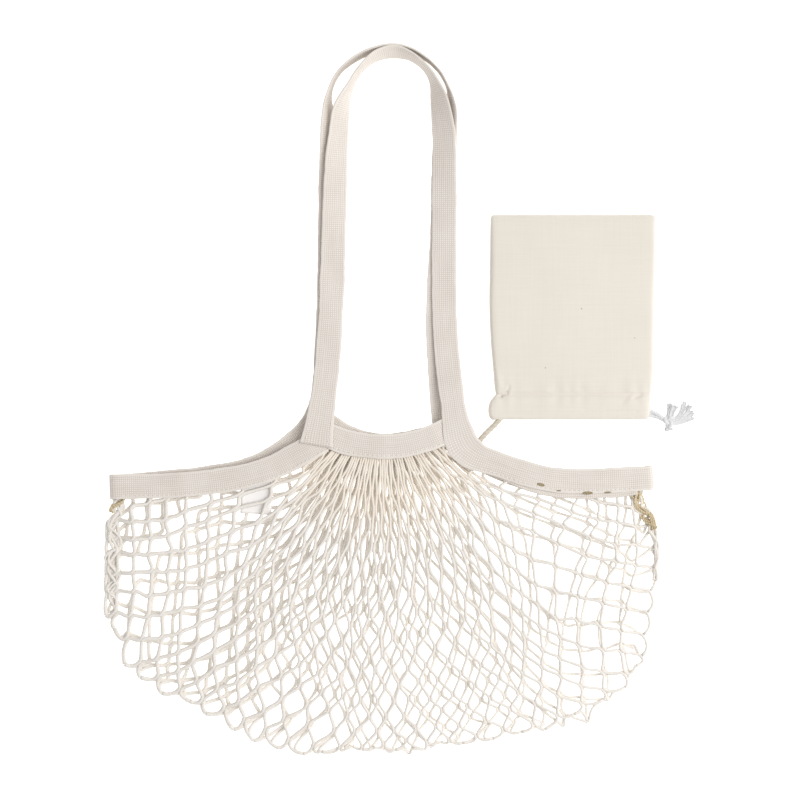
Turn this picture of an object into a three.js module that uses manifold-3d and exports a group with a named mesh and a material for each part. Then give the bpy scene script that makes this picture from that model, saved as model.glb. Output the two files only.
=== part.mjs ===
// A cotton net tote bag lying flat, with two long tape handles and a tethered storage pouch.
// Millimetres. +X is the lying bag's right, +Y runs toward the top of the handles, +Z is up.
import * as THREE from 'three';
import { mergeVertices } from 'three/addons/utils/BufferGeometryUtils.js';
import Module from 'manifold-3d';

// Driving dimensions
const TAPE_WIDTH = 18;
const TAPE_THICK = 1.6;
const SEAM_GAP = 0.35;
const BACK_BAND_RISE = 1.9;
const FRONT_BAND_RISE = 9.4;
const STRAND_WIDTH = 2.6;
const STRAND_THICK = 2.2;
const STRAND_LENGTH = 42;
const COLUMN_ANGLE = 15.2;
const FIRST_ROW_RADIUS = 44;
const HALF_ROWS = 6;
const FAN_CENTRE = new THREE.Vector2(2.6, 0);
const FAN_HALF_ANGLE = 67;
const MEAN_OUTLINE_RADIUS = 262;
const KNOT_SHARE = 0.12;
const SCALLOP_DEPTH = 3.5;
const OUTLINE_STEPS = 90;
const FOLD_SHARE = 0.14;
const SMALLEST_GAP_AREA = 150;
const COVER_RUN_ON = 8;
const LABEL = { x: -92, y: -70, width: 23, length: 27, thick: 1, top: 8.5 };
const CLOTH_WALL = 1;
const CORD_DIAMETER = 3.4;
const STRING_DIAMETER = 2.6;
const CORD_SIDES = 8;

const UP = new THREE.Vector3(0, 0, 1);
const wasm = await Module();
wasm.setup();

const LOOKS = {
  tape: { color: '#e5ddd4', roughness: 0.9, metalness: 0 },
  net: { color: '#ded7cc', roughness: 0.92, metalness: 0 },
  label: { color: '#f2f1ee', roughness: 0.6, metalness: 0 },
  calico: { color: '#ebe4d9', roughness: 0.95, metalness: 0 },
  cord: { color: '#d9cfbf', roughness: 0.92, metalness: 0 },
  string: { color: '#dfdfde', roughness: 0.95, metalness: 0 },
};

/** A named mesh in one of the bag's materials. */
function piece(name, geometry, look) {
  geometry.computeVertexNormals();
  const mesh = new THREE.Mesh(geometry, new THREE.MeshStandardMaterial(LOOKS[look]));
  mesh.name = name;
  return mesh;
}

/** A closed solid through rings of points, all with the same count, with flat ends. */
function loft(rings) {
  const count = rings[0].length;
  const positions = rings.flat().flatMap((point) => point.toArray());
  const index = [];
  for (let ring = 0; ring + 1 < rings.length; ring += 1) {
    for (let corner = 0; corner < count; corner += 1) {
      const a = ring * count + corner;
      const b = ring * count + ((corner + 1) % count);
      index.push(a, a + count, b + count, a, b + count, b);
    }
  }
  const last = (rings.length - 1) * count;
  for (let corner = 1; corner + 1 < count; corner += 1) {
    index.push(0, corner, corner + 1, last, last + corner + 1, last + corner);
  }
  const geometry = new THREE.BufferGeometry();
  geometry.setAttribute('position', new THREE.Float32BufferAttribute(positions, 3));
  geometry.setIndex(index);
  return geometry;
}

/**
 * Frames along a tape. A row gives the middle of the tape, the rise of its lower edge, the lean that
 * lifts its left edge, and its width. Side is 1, or -1 after the tape has been turned over.
 */
function layTape(rows, stepsPerRow, side) {
  const route = new THREE.CatmullRomCurve3(rows.map((row) => new THREE.Vector3(row.x, row.y, row.rise)));
  const shape = new THREE.CatmullRomCurve3(
    rows.map((row) => new THREE.Vector3(row.lean ?? 0, row.width ?? TAPE_WIDTH, 0)),
  );
  const steps = (rows.length - 1) * stepsPerRow;
  const frames = [];
  for (let step = 0; step <= steps; step += 1) {
    const middle = route.getPoint(step / steps);
    const { x: leanDegrees, y: width } = shape.getPoint(step / steps);
    const lean = THREE.MathUtils.degToRad(leanDegrees);
    middle.z += (width / 2) * Math.abs(Math.sin(lean)) + (TAPE_THICK / 2) * Math.cos(lean);
    frames.push({ middle, lean, width });
  }
  frames.forEach((frame, number) => {
    const ahead = frames[Math.min(number + 1, steps)].middle;
    const behind = frames[Math.max(number - 1, 0)].middle;
    frame.heading = ahead.clone().sub(behind).normalize();
    const right = frame.heading.clone().cross(UP).normalize();
    const over = right.clone().cross(frame.heading);
    frame.across = right.multiplyScalar(side * Math.cos(frame.lean));
    frame.across.addScaledVector(over, -side * Math.sin(frame.lean));
    frame.normal = frame.across.clone().cross(frame.heading);
  });
  return frames;
}

/** The half turn that brings a tape from the front layer round to the back layer at a bag's end. */
function turnUnder(frame, drop, steps) {
  const radius = drop / 2;
  const heading = frame.heading.clone().setZ(0).normalize();
  const frames = [];
  for (let step = 1; step < steps; step += 1) {
    const angle = (Math.PI * step) / steps;
    const middle = frame.middle.clone().addScaledVector(heading, radius * Math.sin(angle));
    middle.z += radius * (Math.cos(angle) - 1);
    const turned = heading.clone().multiplyScalar(Math.cos(angle)).addScaledVector(UP, -Math.sin(angle));
    const normal = frame.across.clone().cross(turned);
    frames.push({ middle, heading: turned, across: frame.across, normal, width: frame.width });
  }
  return frames;
}

/** The four corners of a tape at one frame. */
function tapeSection({ middle, across, normal, width }) {
  const corners = [[1, 1], [-1, 1], [-1, -1], [1, -1]];
  return corners.map(([sideways, upward]) => middle.clone()
    .addScaledVector(across, (sideways * width) / 2)
    .addScaledVector(normal, (upward * TAPE_THICK) / 2));
}

function tapeSolid(frames) {
  return loft(frames.map(tapeSection));
}

/** A round cord along points, closed at both ends. */
function cordSolid(points, diameter, steps) {
  const section = new THREE.Shape();
  for (let corner = 0; corner < CORD_SIDES; corner += 1) {
    const angle = (2 * Math.PI * corner) / CORD_SIDES;
    const place = [(diameter / 2) * Math.cos(angle), (diameter / 2) * Math.sin(angle)];
    if (corner === 0) section.moveTo(...place);
    else section.lineTo(...place);
  }
  const extrudePath = new THREE.CatmullRomCurve3(points);
  return new THREE.ExtrudeGeometry(section, { steps, extrudePath, bevelEnabled: false });
}

/** A solid for joining and cutting, from a closed geometry. */
function toSolid(geometry) {
  geometry.deleteAttribute('normal');
  geometry.deleteAttribute('uv');
  const merged = mergeVertices(geometry, 1e-4);
  return new wasm.Manifold(new wasm.Mesh({
    numProp: 3,
    vertProperties: new Float32Array(merged.attributes.position.array),
    triVerts: new Uint32Array(merged.index.array),
  }));
}

/** The geometry of a joined or cut solid, with its points moved by an optional function. */
function toGeometry(solid, move = (point) => point) {
  const mesh = solid.getMesh();
  const geometry = new THREE.BufferGeometry();
  const positions = new THREE.Float32BufferAttribute(mesh.vertProperties, 3);
  const point = new THREE.Vector3();
  for (let number = 0; number < positions.count; number += 1) {
    point.fromBufferAttribute(positions, number);
    positions.setXYZ(number, ...move(point).toArray());
  }
  geometry.setAttribute('position', positions);
  geometry.setIndex(Array.from(mesh.triVerts));
  return geometry;
}

/** A flat plate of the given thickness with its middle at z = 0, from a closed outline. */
function plate(outline, thick) {
  const shape = new THREE.Shape(outline);
  const geometry = new THREE.ExtrudeGeometry(shape, { depth: thick, steps: 1, bevelEnabled: false });
  return toSolid(geometry.translate(0, 0, -thick / 2));
}

// Straps: each is one tape, a handle that runs on into one side of the mouth.
const BAND_DROP = FRONT_BAND_RISE - BACK_BAND_RISE;

const frontHandleRows = [
  { x: -47.5, y: -33, rise: 11.35, lean: 0, width: 24 },
  { x: -44.5, y: -14, rise: 11.35, lean: 0, width: 20 },
  { x: -41.6, y: 6, rise: 9, lean: 0 },
  { x: -39.6, y: 24, rise: 5.2, lean: 0 },
  { x: -37, y: 60, rise: 2.4, lean: 4 },
  { x: -34.4, y: 132, rise: 2.2, lean: 14 },
  { x: -32.3, y: 184, rise: 2, lean: 32 },
  { x: -29.1, y: 212.6, rise: 1.4, lean: 51 },
  { x: -23.6, y: 227.2, rise: 0.6, lean: 74 },
  { x: -14.6, y: 241.5, rise: 0.4, lean: 79 },
  { x: -3.6, y: 250.5, rise: 0.6, lean: 70 },
  { x: 9.2, y: 253.6, rise: 0.8, lean: 64 },
  { x: 20.9, y: 250.4, rise: 0.6, lean: 74 },
  { x: 31, y: 243.2, rise: 0.4, lean: 79 },
  { x: 38, y: 233.4, rise: 0.8, lean: 72 },
  { x: 42, y: 219.9, rise: 2, lean: 48 },
  { x: 45.4, y: 198, rise: 2.4, lean: 27 },
  { x: 46.2, y: 165, rise: 2.4, lean: 12 },
  { x: 46, y: 110, rise: 2.2, lean: 4 },
  { x: 46.4, y: 60, rise: 2.4, lean: 0 },
  { x: 48.4, y: 30, rise: 3.6, lean: 0 },
  { x: 52, y: 0, rise: 7, lean: 0 },
  { x: 55.2, y: -20, rise: FRONT_BAND_RISE, lean: 0 },
  { x: 60, y: -33.5, rise: FRONT_BAND_RISE, lean: 0 },
  { x: 69, y: -41, rise: FRONT_BAND_RISE, lean: 0 },
  { x: 84, y: -46.5, rise: FRONT_BAND_RISE, lean: 0 },
  { x: 104, y: -53.2, rise: FRONT_BAND_RISE, lean: 0 },
  { x: 124, y: -58, rise: FRONT_BAND_RISE, lean: 0 },
  { x: 146, y: -59.2, rise: FRONT_BAND_RISE, lean: 0 },
  { x: 170, y: -58.6, rise: FRONT_BAND_RISE, lean: 0 },
  { x: 194.6, y: -57.2, rise: FRONT_BAND_RISE, lean: 0 },
];
const backRightRows = [
  { x: 194.6, y: -57.2, rise: BACK_BAND_RISE },
  { x: 170, y: -58.8, rise: BACK_BAND_RISE },
  { x: 146, y: -61, rise: BACK_BAND_RISE },
  { x: 124, y: -60.8, rise: BACK_BAND_RISE },
  { x: 104, y: -56, rise: BACK_BAND_RISE },
  { x: 83, y: -48, rise: BACK_BAND_RISE },
  { x: 68, y: -40, rise: BACK_BAND_RISE },
  { x: 56.5, y: -32, rise: BACK_BAND_RISE },
];
const frontLeftRows = [
  { x: -51, y: -30.5, rise: FRONT_BAND_RISE },
  { x: -60, y: -36, rise: FRONT_BAND_RISE },
  { x: -76, y: -45, rise: FRONT_BAND_RISE },
  { x: -106, y: -56.6, rise: FRONT_BAND_RISE },
  { x: -148, y: -62, rise: FRONT_BAND_RISE },
  { x: -194.2, y: -63.4, rise: FRONT_BAND_RISE },
];
const backHandleRows = [
  { x: -194.2, y: -63.4, rise: BACK_BAND_RISE, lean: 0 },
  { x: -160, y: -60.8, rise: BACK_BAND_RISE, lean: 0 },
  { x: -130, y: -57.4, rise: BACK_BAND_RISE, lean: 0 },
  { x: -102, y: -52.6, rise: BACK_BAND_RISE, lean: 0 },
  { x: -84, y: -45.6, rise: BACK_BAND_RISE, lean: 0 },
  { x: -68, y: -35, rise: BACK_BAND_RISE, lean: 0 },
  { x: -54, y: -22.4, rise: 1.6, lean: 0 },
  { x: -45.4, y: -8, rise: 0.8, lean: 0 },
  { x: -42, y: 10, rise: 0.2, lean: 0 },
  { x: -39.8, y: 40, rise: 0, lean: 0 },
  { x: -38, y: 90, rise: 0, lean: 0 },
  { x: -37.4, y: 140, rise: 0, lean: 6 },
  { x: -37, y: 184, rise: 0, lean: 26 },
  { x: -38.8, y: 208, rise: 0, lean: 56 },
  { x: -38, y: 222, rise: 0, lean: 76 },
  { x: -33.6, y: 233.8, rise: 0, lean: 80 },
  { x: -27, y: 243, rise: 0, lean: 80 },
  { x: -17.6, y: 250.4, rise: 0, lean: 78 },
  { x: -6, y: 256, rise: 0, lean: 77 },
  { x: 8, y: 258.4, rise: 0, lean: 77 },
  { x: 21, y: 256, rise: 0, lean: 80 },
  { x: 34, y: 248, rise: 0, lean: 86 },
  { x: 43, y: 237.2, rise: 0, lean: 88 },
  { x: 48.6, y: 226, rise: 0, lean: 84 },
  { x: 50, y: 214, rise: 0, lean: 58 },
  { x: 47.6, y: 200, rise: 0, lean: 24 },
  { x: 46, y: 176, rise: 0, lean: 10 },
  { x: 44.6, y: 120, rise: 0, lean: 0 },
  { x: 41.6, y: 66, rise: 0, lean: 0 },
  { x: 42.4, y: 32, rise: 0, lean: 0 },
  { x: 44.6, y: 0, rise: 0, lean: 0 },
  { x: 47.4, y: -27, rise: 0, lean: 0 },
];
const TAPE_STEPS = 3;
const TURN_STEPS = 8;
const frontHandle = layTape(frontHandleRows, TAPE_STEPS, 1);
const backRight = layTape(backRightRows, TAPE_STEPS, -1);
const rightTurn = turnUnder(frontHandle.at(-1), BAND_DROP, TURN_STEPS);
const frontStrap = piece('front_strap', tapeSolid([...frontHandle, ...rightTurn, ...backRight]), 'tape');

const frontLeft = layTape(frontLeftRows, TAPE_STEPS, 1);
const backHandle = layTape(backHandleRows, TAPE_STEPS, -1);
const leftTurn = turnUnder(frontLeft.at(-1), BAND_DROP, TURN_STEPS);
const backStrap = piece('back_strap', tapeSolid([...frontLeft, ...leftTurn, ...backHandle]), 'tape');

// Centre bands: short tapes that bind the gathered middle of each net layer.
const frontCentreRows = [
  { x: -41.2, y: -24.6, rise: FRONT_BAND_RISE },
  { x: -27, y: -30.4, rise: FRONT_BAND_RISE },
  { x: -13, y: -33, rise: FRONT_BAND_RISE },
  { x: 2, y: -34, rise: FRONT_BAND_RISE },
  { x: 16, y: -33, rise: FRONT_BAND_RISE },
  { x: 32, y: -29, rise: FRONT_BAND_RISE },
  { x: 44.8, y: -23.8, rise: FRONT_BAND_RISE },
];
const backCentreRows = [
  { x: -40.4, y: -22, rise: BACK_BAND_RISE },
  { x: -27, y: -28, rise: BACK_BAND_RISE },
  { x: -13, y: -32, rise: BACK_BAND_RISE },
  { x: 2, y: -33.4, rise: BACK_BAND_RISE },
  { x: 16, y: -32.4, rise: BACK_BAND_RISE },
  { x: 32, y: -29, rise: BACK_BAND_RISE },
  { x: 46, y: -24.6, rise: BACK_BAND_RISE },
];
const frontCentre = layTape(frontCentreRows, TAPE_STEPS, 1);
const backCentre = layTape(backCentreRows, TAPE_STEPS, 1);
const frontCentreBand = piece('front_centre_band', tapeSolid(frontCentre), 'tape');
const backCentreBand = piece('back_centre_band', tapeSolid(backCentre), 'tape');

// Net: two fan-shaped layers of diamonds, gathered at the mouth. The front one turns down to the
// back one round the outside, where the net is folded.
const outlineRows = [
  { angle: -72, radius: 212 },
  { angle: -67, radius: 224 },
  { angle: -60, radius: 238 },
  { angle: -51, radius: 254 },
  { angle: -42, radius: 267 },
  { angle: -36, radius: 270 },
  { angle: -23, radius: 264 },
  { angle: -8, radius: 260 },
  { angle: 8, radius: 261 },
  { angle: 22, radius: 265 },
  { angle: 32, radius: 268 },
  { angle: 39, radius: 272 },
  { angle: 46, radius: 265 },
  { angle: 51, radius: 253 },
  { angle: 60, radius: 233 },
  { angle: 66, radius: 221 },
  { angle: 72, radius: 210 },
];

/** The net's outer radius at an angle from straight down, by straight steps through the table. */
function outlineRadius(angle) {
  const held = THREE.MathUtils.clamp(angle, outlineRows[0].angle, outlineRows.at(-1).angle);
  const next = Math.max(1, outlineRows.findIndex((row) => row.angle >= held));
  const from = outlineRows[next - 1];
  const to = outlineRows[next];
  return THREE.MathUtils.mapLinear(held, from.angle, to.angle, from.radius, to.radius);
}

/** A place in the fan: an angle from straight down and a radius on the mean outline's scale. */
function fanPoint(angle, radius) {
  const turn = THREE.MathUtils.degToRad(angle);
  const reach = (radius * outlineRadius(angle)) / MEAN_OUTLINE_RADIUS;
  return new THREE.Vector2(reach * Math.sin(turn), -reach * Math.cos(turn)).add(FAN_CENTRE);
}

/** How near the fold a place is: 0 on the outline, 1 from the fold's own width inward. */
function foldShare(point) {
  const offset = new THREE.Vector2(point.x, point.y).sub(FAN_CENTRE);
  const angle = THREE.MathUtils.radToDeg(Math.atan2(offset.x, -offset.y));
  const inward = 1 - offset.length() / outlineRadius(angle);
  return THREE.MathUtils.smoothstep(inward, STRAND_WIDTH / MEAN_OUTLINE_RADIUS, FOLD_SHARE);
}

/** Radii of the rows of knots: each half row goes out by what a strand of fixed length leaves. */
function rowRadii() {
  const radii = [FIRST_ROW_RADIUS];
  const halfColumn = THREE.MathUtils.degToRad(COLUMN_ANGLE / 2);
  for (let row = 0; row < HALF_ROWS; row += 1) {
    const slant = Math.asin((radii[row] * halfColumn) / STRAND_LENGTH);
    radii.push(radii[row] + STRAND_LENGTH * Math.cos(slant));
  }
  const stretch = MEAN_OUTLINE_RADIUS / radii.at(-1);
  const fitted = radii.map((radius) => radius * stretch);
  return [fitted[0] * 2 - fitted[1], ...fitted, fitted.at(-1) * 2 - fitted.at(-2)];
}

/** The gaps of one layer: each diamond shrunk by half a strand, with its two knot ends cut off. */
function netGaps(startAngle) {
  const radii = rowRadii();
  const columns = Math.ceil((2 * FAN_HALF_ANGLE) / COLUMN_ANGLE) + 1;
  const gaps = [];
  for (let row = 1; row + 1 < radii.length; row += 1) {
    for (let column = 0; column < columns; column += 1) {
      const middle = startAngle + (column + (row % 2) / 2) * COLUMN_ANGLE;
      const half = COLUMN_ANGLE / 2;
      const corners = [
        fanPoint(middle, radii[row - 1]),
        fanPoint(middle - half, radii[row]),
        fanPoint(middle, radii[row + 1]),
        fanPoint(middle + half, radii[row]),
      ];
      gaps.push(shrink(corners, STRAND_WIDTH / 2));
    }
  }
  return gaps;
}

/** A diamond with its sides moved inward, and its first and third corners cut off square. */
function shrink(corners, inset) {
  const sides = corners.map((corner, number) => {
    const next = corners[(number + 1) % corners.length];
    const along = next.clone().sub(corner).normalize();
    const inward = new THREE.Vector2(-along.y, along.x);
    return { point: corner.clone().addScaledVector(inward, inset), along };
  });
  const inner = sides.map((side, number) => {
    const before = sides.at(number - 1);
    const gap = side.point.clone().sub(before.point);
    const reach = gap.cross(side.along) / before.along.cross(side.along);
    return before.point.clone().addScaledVector(before.along, reach);
  });
  const [top, left, bottom, right] = inner;
  return [
    top.clone().lerp(right, KNOT_SHARE), top.clone().lerp(left, KNOT_SHARE), left,
    bottom.clone().lerp(left, KNOT_SHARE), bottom.clone().lerp(right, KNOT_SHARE), right,
  ];
}

/** Points along a tape's middle moved toward its lower side, as a flat outline. */
function besideTape(frames, distance) {
  return frames.map(({ middle, heading }) => {
    const right = new THREE.Vector2(heading.y, -heading.x).normalize();
    return new THREE.Vector2(middle.x, middle.y).addScaledVector(right, distance);
  });
}

/** The flat outline that a tape covers, run on past both ends and widened by the seam gap. */
function tapeCover(frames) {
  const reach = TAPE_WIDTH / 2 + SEAM_GAP;
  const runOn = (frame, distance) => (
    { ...frame, middle: frame.middle.clone().addScaledVector(frame.heading, distance) });
  const longer = [runOn(frames[0], -COVER_RUN_ON), ...frames, runOn(frames.at(-1), COVER_RUN_ON)];
  return [...besideTape(longer, reach), ...besideTape(longer, -reach).reverse()];
}

/** One net layer: a plate below its mouth bands, cut through by the gaps. */
function netLayer(bands, covers, startAngle) {
  const mouth = (distance) => bands.flatMap((frames) => besideTape(frames, distance));
  const outline = (inset) => {
    const points = [];
    for (let step = 0; step <= OUTLINE_STEPS; step += 1) {
      const angle = FAN_HALF_ANGLE * (1 - (2 * step) / OUTLINE_STEPS);
      const wave = Math.abs(Math.sin((Math.PI * (angle - startAngle)) / COLUMN_ANGLE));
      points.push(fanPoint(angle, MEAN_OUTLINE_RADIUS - SCALLOP_DEPTH * (1 - wave) - inset));
    }
    return points;
  };
  const rim = TAPE_WIDTH / 2 + SEAM_GAP + STRAND_WIDTH;
  const open = plate([...mouth(rim), ...outline(STRAND_WIDTH)], 4 * STRAND_THICK);
  const gaps = netGaps(startAngle)
    .map((corners) => plate(corners, 2 * STRAND_THICK).intersect(open))
    .filter((gap) => gap.volume() > SMALLEST_GAP_AREA * 2 * STRAND_THICK);
  let layer = plate([...mouth(0), ...outline(0)], STRAND_THICK);
  gaps.forEach((gap) => {
    layer = layer.subtract(gap);
  });
  covers.forEach((frames) => {
    layer = layer.subtract(plate(tapeCover(frames), 6 * STRAND_THICK));
  });
  return layer;
}

const NET_BACK_LEVEL = STRAND_THICK / 2;
const NET_FRONT_LEVEL = FRONT_BAND_RISE + TAPE_THICK - STRAND_THICK / 2;
const NET_FOLD_LEVEL = NET_BACK_LEVEL + STRAND_THICK + SEAM_GAP;
const FAN_START = -5 * COLUMN_ANGLE;
const turnedRound = (frames) => [...frames].reverse()
  .map((frame) => ({ ...frame, heading: frame.heading.clone().negate() }));
const rightOf = (x) => frontHandle.filter(({ middle }) => middle.x > x && middle.y < 0);
const leftOf = (x) => backHandle.filter(({ middle }) => middle.x < x && middle.y < 0);
const frontBands = [turnedRound(frontLeft), frontCentre, rightOf(62)];
const backBands = [leftOf(-57), backCentre, turnedRound(backRight)];
const frontCovers = [frontLeft, frontCentre, rightOf(52)];
const backCovers = [leftOf(-43), backCentre, backRight];
const frontLayer = netLayer(frontBands, frontCovers, FAN_START);
const backLayer = netLayer(backBands, backCovers, FAN_START + COLUMN_ANGLE / 2);
const frontNet = piece('front_net', toGeometry(frontLayer, (point) => {
  point.z += THREE.MathUtils.lerp(NET_FOLD_LEVEL, NET_FRONT_LEVEL, foldShare(point));
  return point;
}), 'net');
const backNet = piece('back_net', toGeometry(backLayer).translate(0, 0, NET_BACK_LEVEL), 'net');

// Care label: a small blank tag behind the front net, under the left side of the mouth.
const careLabel = piece('care_label', new THREE.BoxGeometry(LABEL.width, LABEL.length, LABEL.thick), 'label');
careLabel.position.set(LABEL.x, LABEL.y, LABEL.top - LABEL.thick / 2);

// Pouch: two plies with a hollow between them, flat underneath, its mouth at y = 0.
const pouchRows = [
  { up: 150, left: -57, right: 58, thick: 3.2 },
  { up: 148.6, left: -59.4, right: 60.4, thick: 4.2 },
  { up: 145, left: -60, right: 61, thick: 5.6 },
  { up: 115, left: -60.6, right: 60.6, thick: 7.6 },
  { up: 84, left: -61, right: 59.8, thick: 8 },
  { up: 58, left: -60, right: 59.4, thick: 8 },
  { up: 34, left: -58, right: 59, thick: 7.8 },
  { up: 22, left: -57.2, right: 58, thick: 7.4 },
  { up: 18.6, left: -56.8, right: 57.3, thick: 6.7 },
  { up: 13, left: -60.6, right: 57, thick: 7.4 },
  { up: 7, left: -61.8, right: 56.8, thick: 7.4 },
  { up: 2.6, left: -61.2, right: 56.2, thick: 7.2 },
  { up: 0, left: -59.4, right: 54.6, thick: 6.8 },
];
const plySection = [
  { across: -0.94, height: 0 }, { across: 0.94, height: 0 }, { across: 0.985, height: 0.12 },
  { across: 1, height: 0.3 }, { across: 0.985, height: 0.5 }, { across: 0.93, height: 0.8 },
  { across: 0.8, height: 0.95 }, { across: 0.5, height: 1 }, { across: -0.5, height: 1 },
  { across: -0.8, height: 0.95 }, { across: -0.93, height: 0.8 }, { across: -0.985, height: 0.5 },
  { across: -1, height: 0.3 }, { across: -0.985, height: 0.12 },
];

/** One cross-section of the pouch, moved inward by the wall for its inner surface. */
function pouchRing({ up, left, right, thick }, wall) {
  const half = (right - left) / 2 - 1.2 * wall;
  const middle = (right + left) / 2;
  return plySection.map(({ across, height }) => (
    new THREE.Vector3(middle + across * half, up, wall + height * (thick - 2 * wall))));
}

const outerRings = pouchRows.map((row) => pouchRing(row, 0));
const innerRings = pouchRows.slice(1).map((row, number) => {
  const inset = number === 0 ? CLOTH_WALL : 0;
  return pouchRing({ ...row, up: row.up - inset }, CLOTH_WALL);
});
const pouch = piece('pouch', loft([...innerRings, ...outerRings.reverse()]), 'calico');
const pouchPlace = new THREE.Vector3(140, -14.4, 0);
pouch.position.copy(pouchPlace);

// Pouch tether: a cord from inside the pouch's mouth to the underside of the bag's mouth tape.
const tetherRoute = [
  new THREE.Vector3(92, -3, 3),
  new THREE.Vector3(88.6, -11.4, 3),
  new THREE.Vector3(83.2, -18, 3.1),
  new THREE.Vector3(76.2, -24.8, 6),
  new THREE.Vector3(70.2, -31.6, 7.1),
  new THREE.Vector3(65, -39.5, 7.1),
];
const tether = piece('pouch_tether', cordSolid(tetherRoute, CORD_DIAMETER, 10), 'cord');

// Drawstring: the string's loose end out of the pouch's casing, its knot and its frayed tails.
const stringRoute = [
  new THREE.Vector3(197.2, -8.6, 3.4),
  new THREE.Vector3(201.6, -10.2, 3),
  new THREE.Vector3(206.7, -13.5, 2.6),
];
const drawstring = piece('drawstring', cordSolid(stringRoute, STRING_DIAMETER, 5), 'string');

const knotMiddle = new THREE.Vector3(210, -15.6, 3.2);
const knotTails = [
  { x: 214.4, y: -3, z: 2.2, diameter: 4.4 },
  { x: 222.6, y: -1.8, z: 2.4, diameter: 3.6, viaX: 219, viaY: -12.4 },
  { x: 228.6, y: -13.6, z: 2.2, diameter: 4, viaX: 219, viaY: -14.6 },
  { x: 209.2, y: -22.6, z: 2.4, diameter: 4 },
];
let knotSolid = toSolid(new THREE.IcosahedronGeometry(3.2, 2)
  .scale(1.1, 1.2, 0.98).translate(...knotMiddle.toArray()));
knotTails.forEach(({ x, y, z, diameter, viaX, viaY }) => {
  const route = [knotMiddle, new THREE.Vector3(x, y, z)];
  if (viaX) route.splice(1, 0, new THREE.Vector3(viaX, viaY, z));
  knotSolid = knotSolid.add(toSolid(cordSolid(route, diameter, 3)));
});
const knot = piece('drawstring_knot', toGeometry(knotSolid), 'string');

const bag = new THREE.Group();
bag.add(frontNet, backNet, frontStrap, backStrap, frontCentreBand, backCentreBand, careLabel);
const pouchSet = new THREE.Group();
pouchSet.add(pouch, tether, drawstring, knot);

const toteBag = new THREE.Group();
toteBag.add(bag, pouchSet);

export default toteBag;
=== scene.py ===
"""The looks of a cotton net tote bag with its drawstring pouch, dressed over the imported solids.

Shapes are worked out in millimetres in the row's frame and put into meshes in metres.
"""
import math

import bpy
import numpy as np
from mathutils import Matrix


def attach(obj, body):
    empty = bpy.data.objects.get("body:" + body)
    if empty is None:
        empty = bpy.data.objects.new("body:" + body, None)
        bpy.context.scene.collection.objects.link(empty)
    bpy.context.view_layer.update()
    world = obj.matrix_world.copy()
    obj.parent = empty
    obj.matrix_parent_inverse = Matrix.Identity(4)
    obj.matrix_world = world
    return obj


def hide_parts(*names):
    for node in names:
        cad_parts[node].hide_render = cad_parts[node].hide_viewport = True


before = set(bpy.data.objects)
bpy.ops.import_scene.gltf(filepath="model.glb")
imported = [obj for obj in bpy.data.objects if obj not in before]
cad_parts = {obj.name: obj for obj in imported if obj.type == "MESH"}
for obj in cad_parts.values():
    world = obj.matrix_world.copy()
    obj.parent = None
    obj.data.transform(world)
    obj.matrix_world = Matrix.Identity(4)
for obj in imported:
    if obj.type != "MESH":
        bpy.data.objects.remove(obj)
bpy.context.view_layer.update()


# Camera. The bag lies flat and is seen from straight above, with its handles toward the top.
# The picture takes in a square 586 mm wide, from so far away that nothing leans outward.
CAMERA_HEIGHT = 2.5
PICTURE_WIDTH = 0.5864
PICTURE_MIDDLE = (0.0136, 0.0)

camera = bpy.data.objects.new("camera", bpy.data.cameras.new("camera"))
camera.data.lens = camera.data.sensor_width * CAMERA_HEIGHT / PICTURE_WIDTH
camera.location = (*PICTURE_MIDDLE, CAMERA_HEIGHT)
bpy.context.collection.objects.link(camera)
bpy.context.scene.camera = camera


# Pouch tether. A soft cord of three cotton plies, sewn into the pouch's mouth and under the bag's
# mouth tape, so that the pouch stays with the bag. It lies slack between the two.
MILLIMETRE = 0.001
UP = np.array([0.0, 0.0, 1.0])
CORD_DIAMETER = 4.0
CORD_PLIES = 3
CORD_LAY = 12.0
CORD_CORNERS = 18
CORD_STEP = 0.7
CORD_LIGHT = "#d2cabc"
CORD_SHADE = "#b0a491"
SPAN_STEPS = 24
TETHER_ROUTE = np.array([  # x, y, z
    (92.0, -3.0, 3.0),
    (88.6, -11.4, 3.0),
    (83.2, -18.0, 3.1),
    (76.2, -24.8, 6.0),
    (70.2, -31.6, 7.1),
    (65.0, -39.5, 7.1),
])


def run_length(points):
    """The length of a path up to each of its points."""
    return np.concatenate([[0.0], np.cumsum(np.linalg.norm(np.diff(points, axis=0), axis=1))])


def smooth_route(rows, step):
    """A centripetal Catmull-Rom curve through rows, resampled at even steps of its length.

    A span is the cubic between two rows whose slopes come from the rows on either side, weighed by
    the roots of their distances. The first three columns are a place, and others go along with it.
    """
    rows = np.asarray(rows, float)
    held = np.vstack([2 * rows[0] - rows[1], rows, 2 * rows[-1] - rows[-2]])
    knots = np.sqrt(np.linalg.norm(np.diff(held[:, :3], axis=0), axis=1))[:, None, None]
    before, start, end, after = (held[k : len(held) - 3 + k, None] for k in range(4))
    gap_before, gap, gap_after = (knots[k : len(knots) - 2 + k] for k in range(3))
    leave = (start - before) / gap_before - (end - before) / (gap_before + gap) + (end - start) / gap
    arrive = (end - start) / gap - (after - start) / (gap + gap_after) + (after - end) / gap_after
    t = np.linspace(0, 1, SPAN_STEPS, endpoint=False)[:, None]
    curve = (
        (2 * t**3 - 3 * t**2 + 1) * start
        + (t**3 - 2 * t**2 + t) * leave * gap
        + (3 * t**2 - 2 * t**3) * end
        + (t**3 - t**2) * arrive * gap
    )
    fine = np.vstack([curve.reshape(-1, rows.shape[1]), rows[-1:]])
    length = run_length(fine[:, :3])
    even = np.linspace(0, length[-1], max(2, round(length[-1] / step) + 1))
    return np.column_stack([np.interp(even, length, column) for column in fine.T])


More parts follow.
